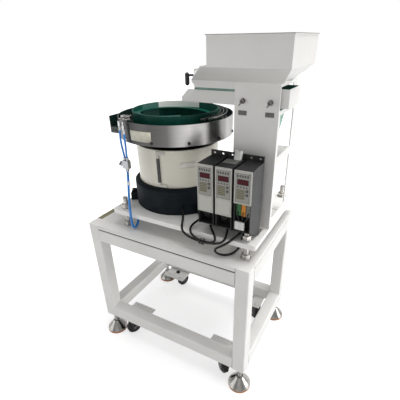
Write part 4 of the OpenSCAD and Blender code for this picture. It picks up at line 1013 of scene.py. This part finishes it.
class FEEDER_OT_unit_details(bpy.types.Operator):
    """Adds displays, key marks, wires and loose plugs to the control units"""

    bl_idname = "feeder.unit_details"
    bl_label = "Control unit details"

    # the bars of a digit: centre across, centre up, width and height, and where the digits stand
    DIGIT = ((0, 4.2, 3, 0.8), (0, 0, 3, 0.8), (0, -4.2, 3, 0.8), (-2, 2.1, 0.8, 3.2),
             (2, 2.1, 0.8, 3.2), (-2, -2.1, 0.8, 3.2), (2, -2.1, 0.8, 3.2))
    DIGITS = (-10.5, -3.5, 3.5, 10.5)

    # the display: centre across, centre up, width and height, then how deep pane and bars lie
    WINDOW = (24, 781, 29.2, 13.2)
    PANE_Y = (0.45, 1.15)
    BARS_Y = (0.25, 0.6)

    # the triangle on a key: its reach, its thickness and its gap
    MARK_R = 1.7 * MM
    MARK_T = 0.4 * MM
    MARK_GAP = 0.05 * MM

    # the wires of a unit: where each starts and ends across, then the way down as depth and height
    WIRES = ((8.3, 16), (22.3, 21), (36.3, 26))
    WIRE_HIGH = ((41, 688), (35.5, 684), (33.5, 674))
    WIRE_LOW = ((36, 656), (42, 644), (46, 638.6))
    WIRE_R = 1.3 * MM

    # corners of the white plug and of its first rib, from the last unit's left edge
    PLUG = ((1.8, 27, 637.2), (30, 33, 661))
    RIB = ((4.5, 26.2, 640), (8.5, 27.2, 658))
    RIBS = 4
    RIB_STEP = 6.6

    # the clip on the units: foot, lean in degrees, then its block and one side, in metres
    CLIP_FOOT = (534, 92, 811.2)
    CLIP_LEAN = -20
    CLIP = ((-0.008, -0.005, 0.0), (0.008, 0.005, 0.024))
    CLIP_SIDES = ((-0.0087, -0.0057), (0.0057, 0.0087))
    CLIP_SIDE = (0.0075, 0.002, 0.026)

    # corners of the bare plate on the second unit, from that unit's edges
    TOP_PLATE = ((3, 58, 810.9), (-6, 90, 812.2))

    def execute(self, context):
        self.displays()
        self.arrows(moulded("key ink", (0.36, 0.35, 0.31), 0.4))
        self.wires(moulded("wire jacket", (0.012, 0.012, 0.013), 0.4))
        self.plug_and_clip(moulded("white plug", (0.80, 0.80, 0.78), 0.35))
        self.top_plate(moulded("bare unit plate", (0.17, 0.17, 0.16), 0.4))
        return {"FINISHED"}

    def glass(self, name, color):
        s = Shader(name, color, shine=0.15)
        s.gloss(s.noise(60, 3), 0.25, 0.4)
        return s

    def block(self, bm, place, depth):
        """A flat block in a unit's face: centre and size across and up, front and back."""
        x, z, width, height = place
        front, back = (UNIT_Y + y for y in depth)
        add_box(bm, at(x - width / 2, front, z - height / 2), at(x + width / 2, back, z + height / 2))

    def displays(self):
        """Dark panes with bars that are off."""
        panes = bmesh.new()
        bars = bmesh.new()
        across, up, width, height = self.WINDOW
        for i in range(UNITS):
            x = UNIT_X + i * UNIT_PITCH + across
            self.block(panes, (x, up, width, height), self.PANE_Y)
            for place in self.DIGITS:
                for right, rise, wide, tall in self.DIGIT:
                    self.block(bars, (x + place + right, up + rise, wide, tall), self.BARS_Y)
        glass = self.glass("display glass", (0.050, 0.003, 0.007))
        make_piece(panes, "display_panes", glass, "frame")
        unlit = self.glass("display bars", (0.11, 0.004, 0.010))
        make_piece(bars, "display_bars", unlit, "frame")

    def arrows(self, ink):
        """A triangle on each key, which rides the key."""
        stand = Matrix.Rotation(math.radians(90), 4, "X")
        for i in range(UNITS):
            for kind, spin in (("up", 0), ("down", 180)):
                body = f"{kind}_key_{i + 1}"
                low, high = (Vector(p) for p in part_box(body))
                place = (low + high) / 2
                place.y = low.y - self.MARK_GAP
                bm = bmesh.new()
                bmesh.ops.create_cone(
                    bm, cap_ends=True, segments=3, radius1=self.MARK_R, radius2=self.MARK_R,
                    depth=self.MARK_T,
                    matrix=Matrix.Translation(place) @ stand @ Matrix.Rotation(math.radians(spin), 4, "Z"),
                )
                make_piece(bm, f"{body}_mark", ink, body, smooth=False)

    def wires(self, jacket):
        """Short wires from the terminals down to each unit's gland."""
        for i in range(UNITS):
            x = UNIT_X + i * UNIT_PITCH
            for k, (start, end) in enumerate(self.WIRES):
                route = [at(x + start, *p) for p in self.WIRE_HIGH]
                route += [at(x + end, *p) for p in self.WIRE_LOW]
                name = f"unit_wire_{i + 1}_{k + 1}"
                add_curve(name, smooth_path(route, 4), self.WIRE_R, jacket)

    def plug_and_clip(self, white):
        """A white plug in the last unit's recess and a clip on top of the units."""
        bm = bmesh.new()
        edge = Vector((UNIT_X + (UNITS - 1) * UNIT_PITCH, 0, 0))
        add_box(bm, *(at(*(edge + Vector(p))) for p in self.PLUG))
        for k in range(self.RIBS):
            rib = edge + Vector((k * self.RIB_STEP, 0, 0))
            add_box(bm, *(at(*(rib + Vector(p))) for p in self.RIB))
        make_piece(bm, "white_plug", white, "frame", bevel=0.0006)
        bm = bmesh.new()
        lean = Matrix.Translation(at(*self.CLIP_FOOT)) @ Matrix.Rotation(math.radians(self.CLIP_LEAN), 4, "X")
        add_box(bm, *self.CLIP, lean)
        reach, low, high = self.CLIP_SIDE
        for left, right in self.CLIP_SIDES:
            add_box(bm, (left, -reach, low), (right, reach, high), lean)
        make_piece(bm, "white_clip", white, "frame", bevel=0.0005)

    def top_plate(self, grey):
        """A bare plate on top of the second unit."""
        left = UNIT_X + UNIT_PITCH
        (x1, y1, z1), (x2, y2, z2) = self.TOP_PLATE
        bm = bmesh.new()
        add_box(bm, at(left + x1, y1, z1), at(left + UNIT_W + x2, y2, z2))
        make_piece(bm, "unit_top_plate", grey, "frame", bevel=0.0004)


class FEEDER_OT_small_parts(bpy.types.Operator):
    """Adds the hose sleeves, the cable ties and the pull ring"""

    bl_idname = "feeder.small_parts"
    bl_label = "Small parts"

    # the sleeve on the supply hose, from end to end over the table top, and the radii of the sleeves
    SLEEVE = ((179, 40.3, 167), (178.6, 41.9, 178))
    SLEEVE_R = 4.8 * MM
    END_SLEEVE_R = 3.4 * MM

    # the ties round the leads: where they lie, which way the leads run there, their radius and wire
    TIES = ((462, 23, 43.4), (452, 23, 43.4))
    TIE_AXIS = (1, 0.1, 0)
    TIE_R = 8.8
    TIE_HALF = 2.5
    TIE_LAP = 1.0
    WIRE_R = 1.1 * MM

    # the middle of the pull ring and the way that it faces
    PULL_RING = (166, 44, 232)
    PULL_AXIS = (0, 1, 0.25)

    def execute(self, context):
        self.sleeves(moulded("sleeve white", (0.78, 0.79, 0.80), 0.4))
        self.ties(moulded("tie black", (0.013, 0.013, 0.014), 0.4))
        bm = bmesh.new()
        add_ring(bm, over(*self.PULL_RING), self.PULL_AXIS, sizes().pull_ring_d / 2, self.WIRE_R, 40)
        plated = brushed("pull ring", (0.55, 0.56, 0.58), 0.22)
        make_piece(bm, "pull_ring", plated, "frame")
        return {"FINISHED"}

    def sleeves(self, white):
        bm = bmesh.new()
        add_rod(bm, *(over(*p) for p in self.SLEEVE), self.SLEEVE_R)
        for hose in JET_HOSES:
            add_rod(bm, over(*hose[0]), over(*hose[1]), self.END_SLEEVE_R)
        make_piece(bm, "hose_sleeves", white, "frame", bevel=0.0005)

    def ties(self, dark):
        """A ring and a lock block for each tie."""
        bm = bmesh.new()
        half = self.TIE_HALF
        for x, y, z in self.TIES:
            front = y - self.TIE_R
            add_ring(bm, over(x, y, z), self.TIE_AXIS, self.TIE_R * MM, self.WIRE_R)
            low = over(x - half, front - half, z - half)
            high = over(x + half, front + self.TIE_LAP, z + half)
            add_box(bm, low, high)
        make_piece(bm, "cable_ties", dark, "frame", bevel=0.0004)


class FEEDER_OT_axle_caps(bpy.types.Operator):
    """Adds the bright axle bolts of the casters"""

    bl_idname = "feeder.axle_caps"
    bl_label = "Axle bolts"

    # how far from the wheel's middle a head begins and ends, and its radius
    HEAD_FROM = 12.5 * MM
    HEAD_TO = 16.5 * MM
    HEAD_R = 5.5 * MM

    def execute(self, context):
        steel = brushed("axle steel", (0.60, 0.60, 0.60), 0.25)
        joints = {joint["name"]: joint for joint in frame["record"]["behaviour"]["joints"]}
        for corner in CORNERS:
            axle = joints[f"caster_{corner}_roll"]
            middle, side = Vector(axle["pos_m"]), Vector(axle["axis"])
            bm = bmesh.new()
            for k in (-1, 1):
                start, end = (middle + side * k * reach for reach in (self.HEAD_FROM, self.HEAD_TO))
                add_rod(bm, start, end, self.HEAD_R, 6)
            make_piece(bm, f"axle_{corner}", steel, f"fork_{corner}", bevel=0.0004)
        return {"FINISHED"}


class FEEDER_PT_panel(bpy.types.Panel):
    """Lists the pieces in the sidebar"""

    bl_idname = "FEEDER_PT_panel"
    bl_label = "Bowl feeder"
    bl_space_type = "VIEW_3D"
    bl_region_type = "UI"
    bl_category = "Feeder"

    def draw(self, context):
        column = self.layout.column()
        for operator in OPERATORS:
            column.operator(operator.bl_idname, text=operator.bl_label)
        for group in (colours(), sizes()):
            for name in group.__annotations__:
                column.prop(group, name)


OPERATORS = [
    FEEDER_OT_stage,
    FEEDER_OT_cords,
    FEEDER_OT_finishes,
    FEEDER_OT_bowl_details,
    FEEDER_OT_unit_details,
    FEEDER_OT_small_parts,
    FEEDER_OT_axle_caps,
]
CLASSES = [FeederColours, FeederSizes, *OPERATORS, FEEDER_PT_panel]


def register():
    for cls in CLASSES:
        bpy.utils.register_class(cls)
    bpy.types.Scene.feeder_colours = bpy.props.PointerProperty(type=FeederColours)
    bpy.types.Scene.feeder_sizes = bpy.props.PointerProperty(type=FeederSizes)


def unregister():
    del bpy.types.Scene.feeder_colours
    del bpy.types.Scene.feeder_sizes
    for cls in reversed(CLASSES):
        bpy.utils.unregister_class(cls)


def main():
    register()
    for operator in OPERATORS:
        group, name = operator.bl_idname.split(".")
        getattr(getattr(bpy.ops, group), name)()


if __name__ == "__main__":
    main()
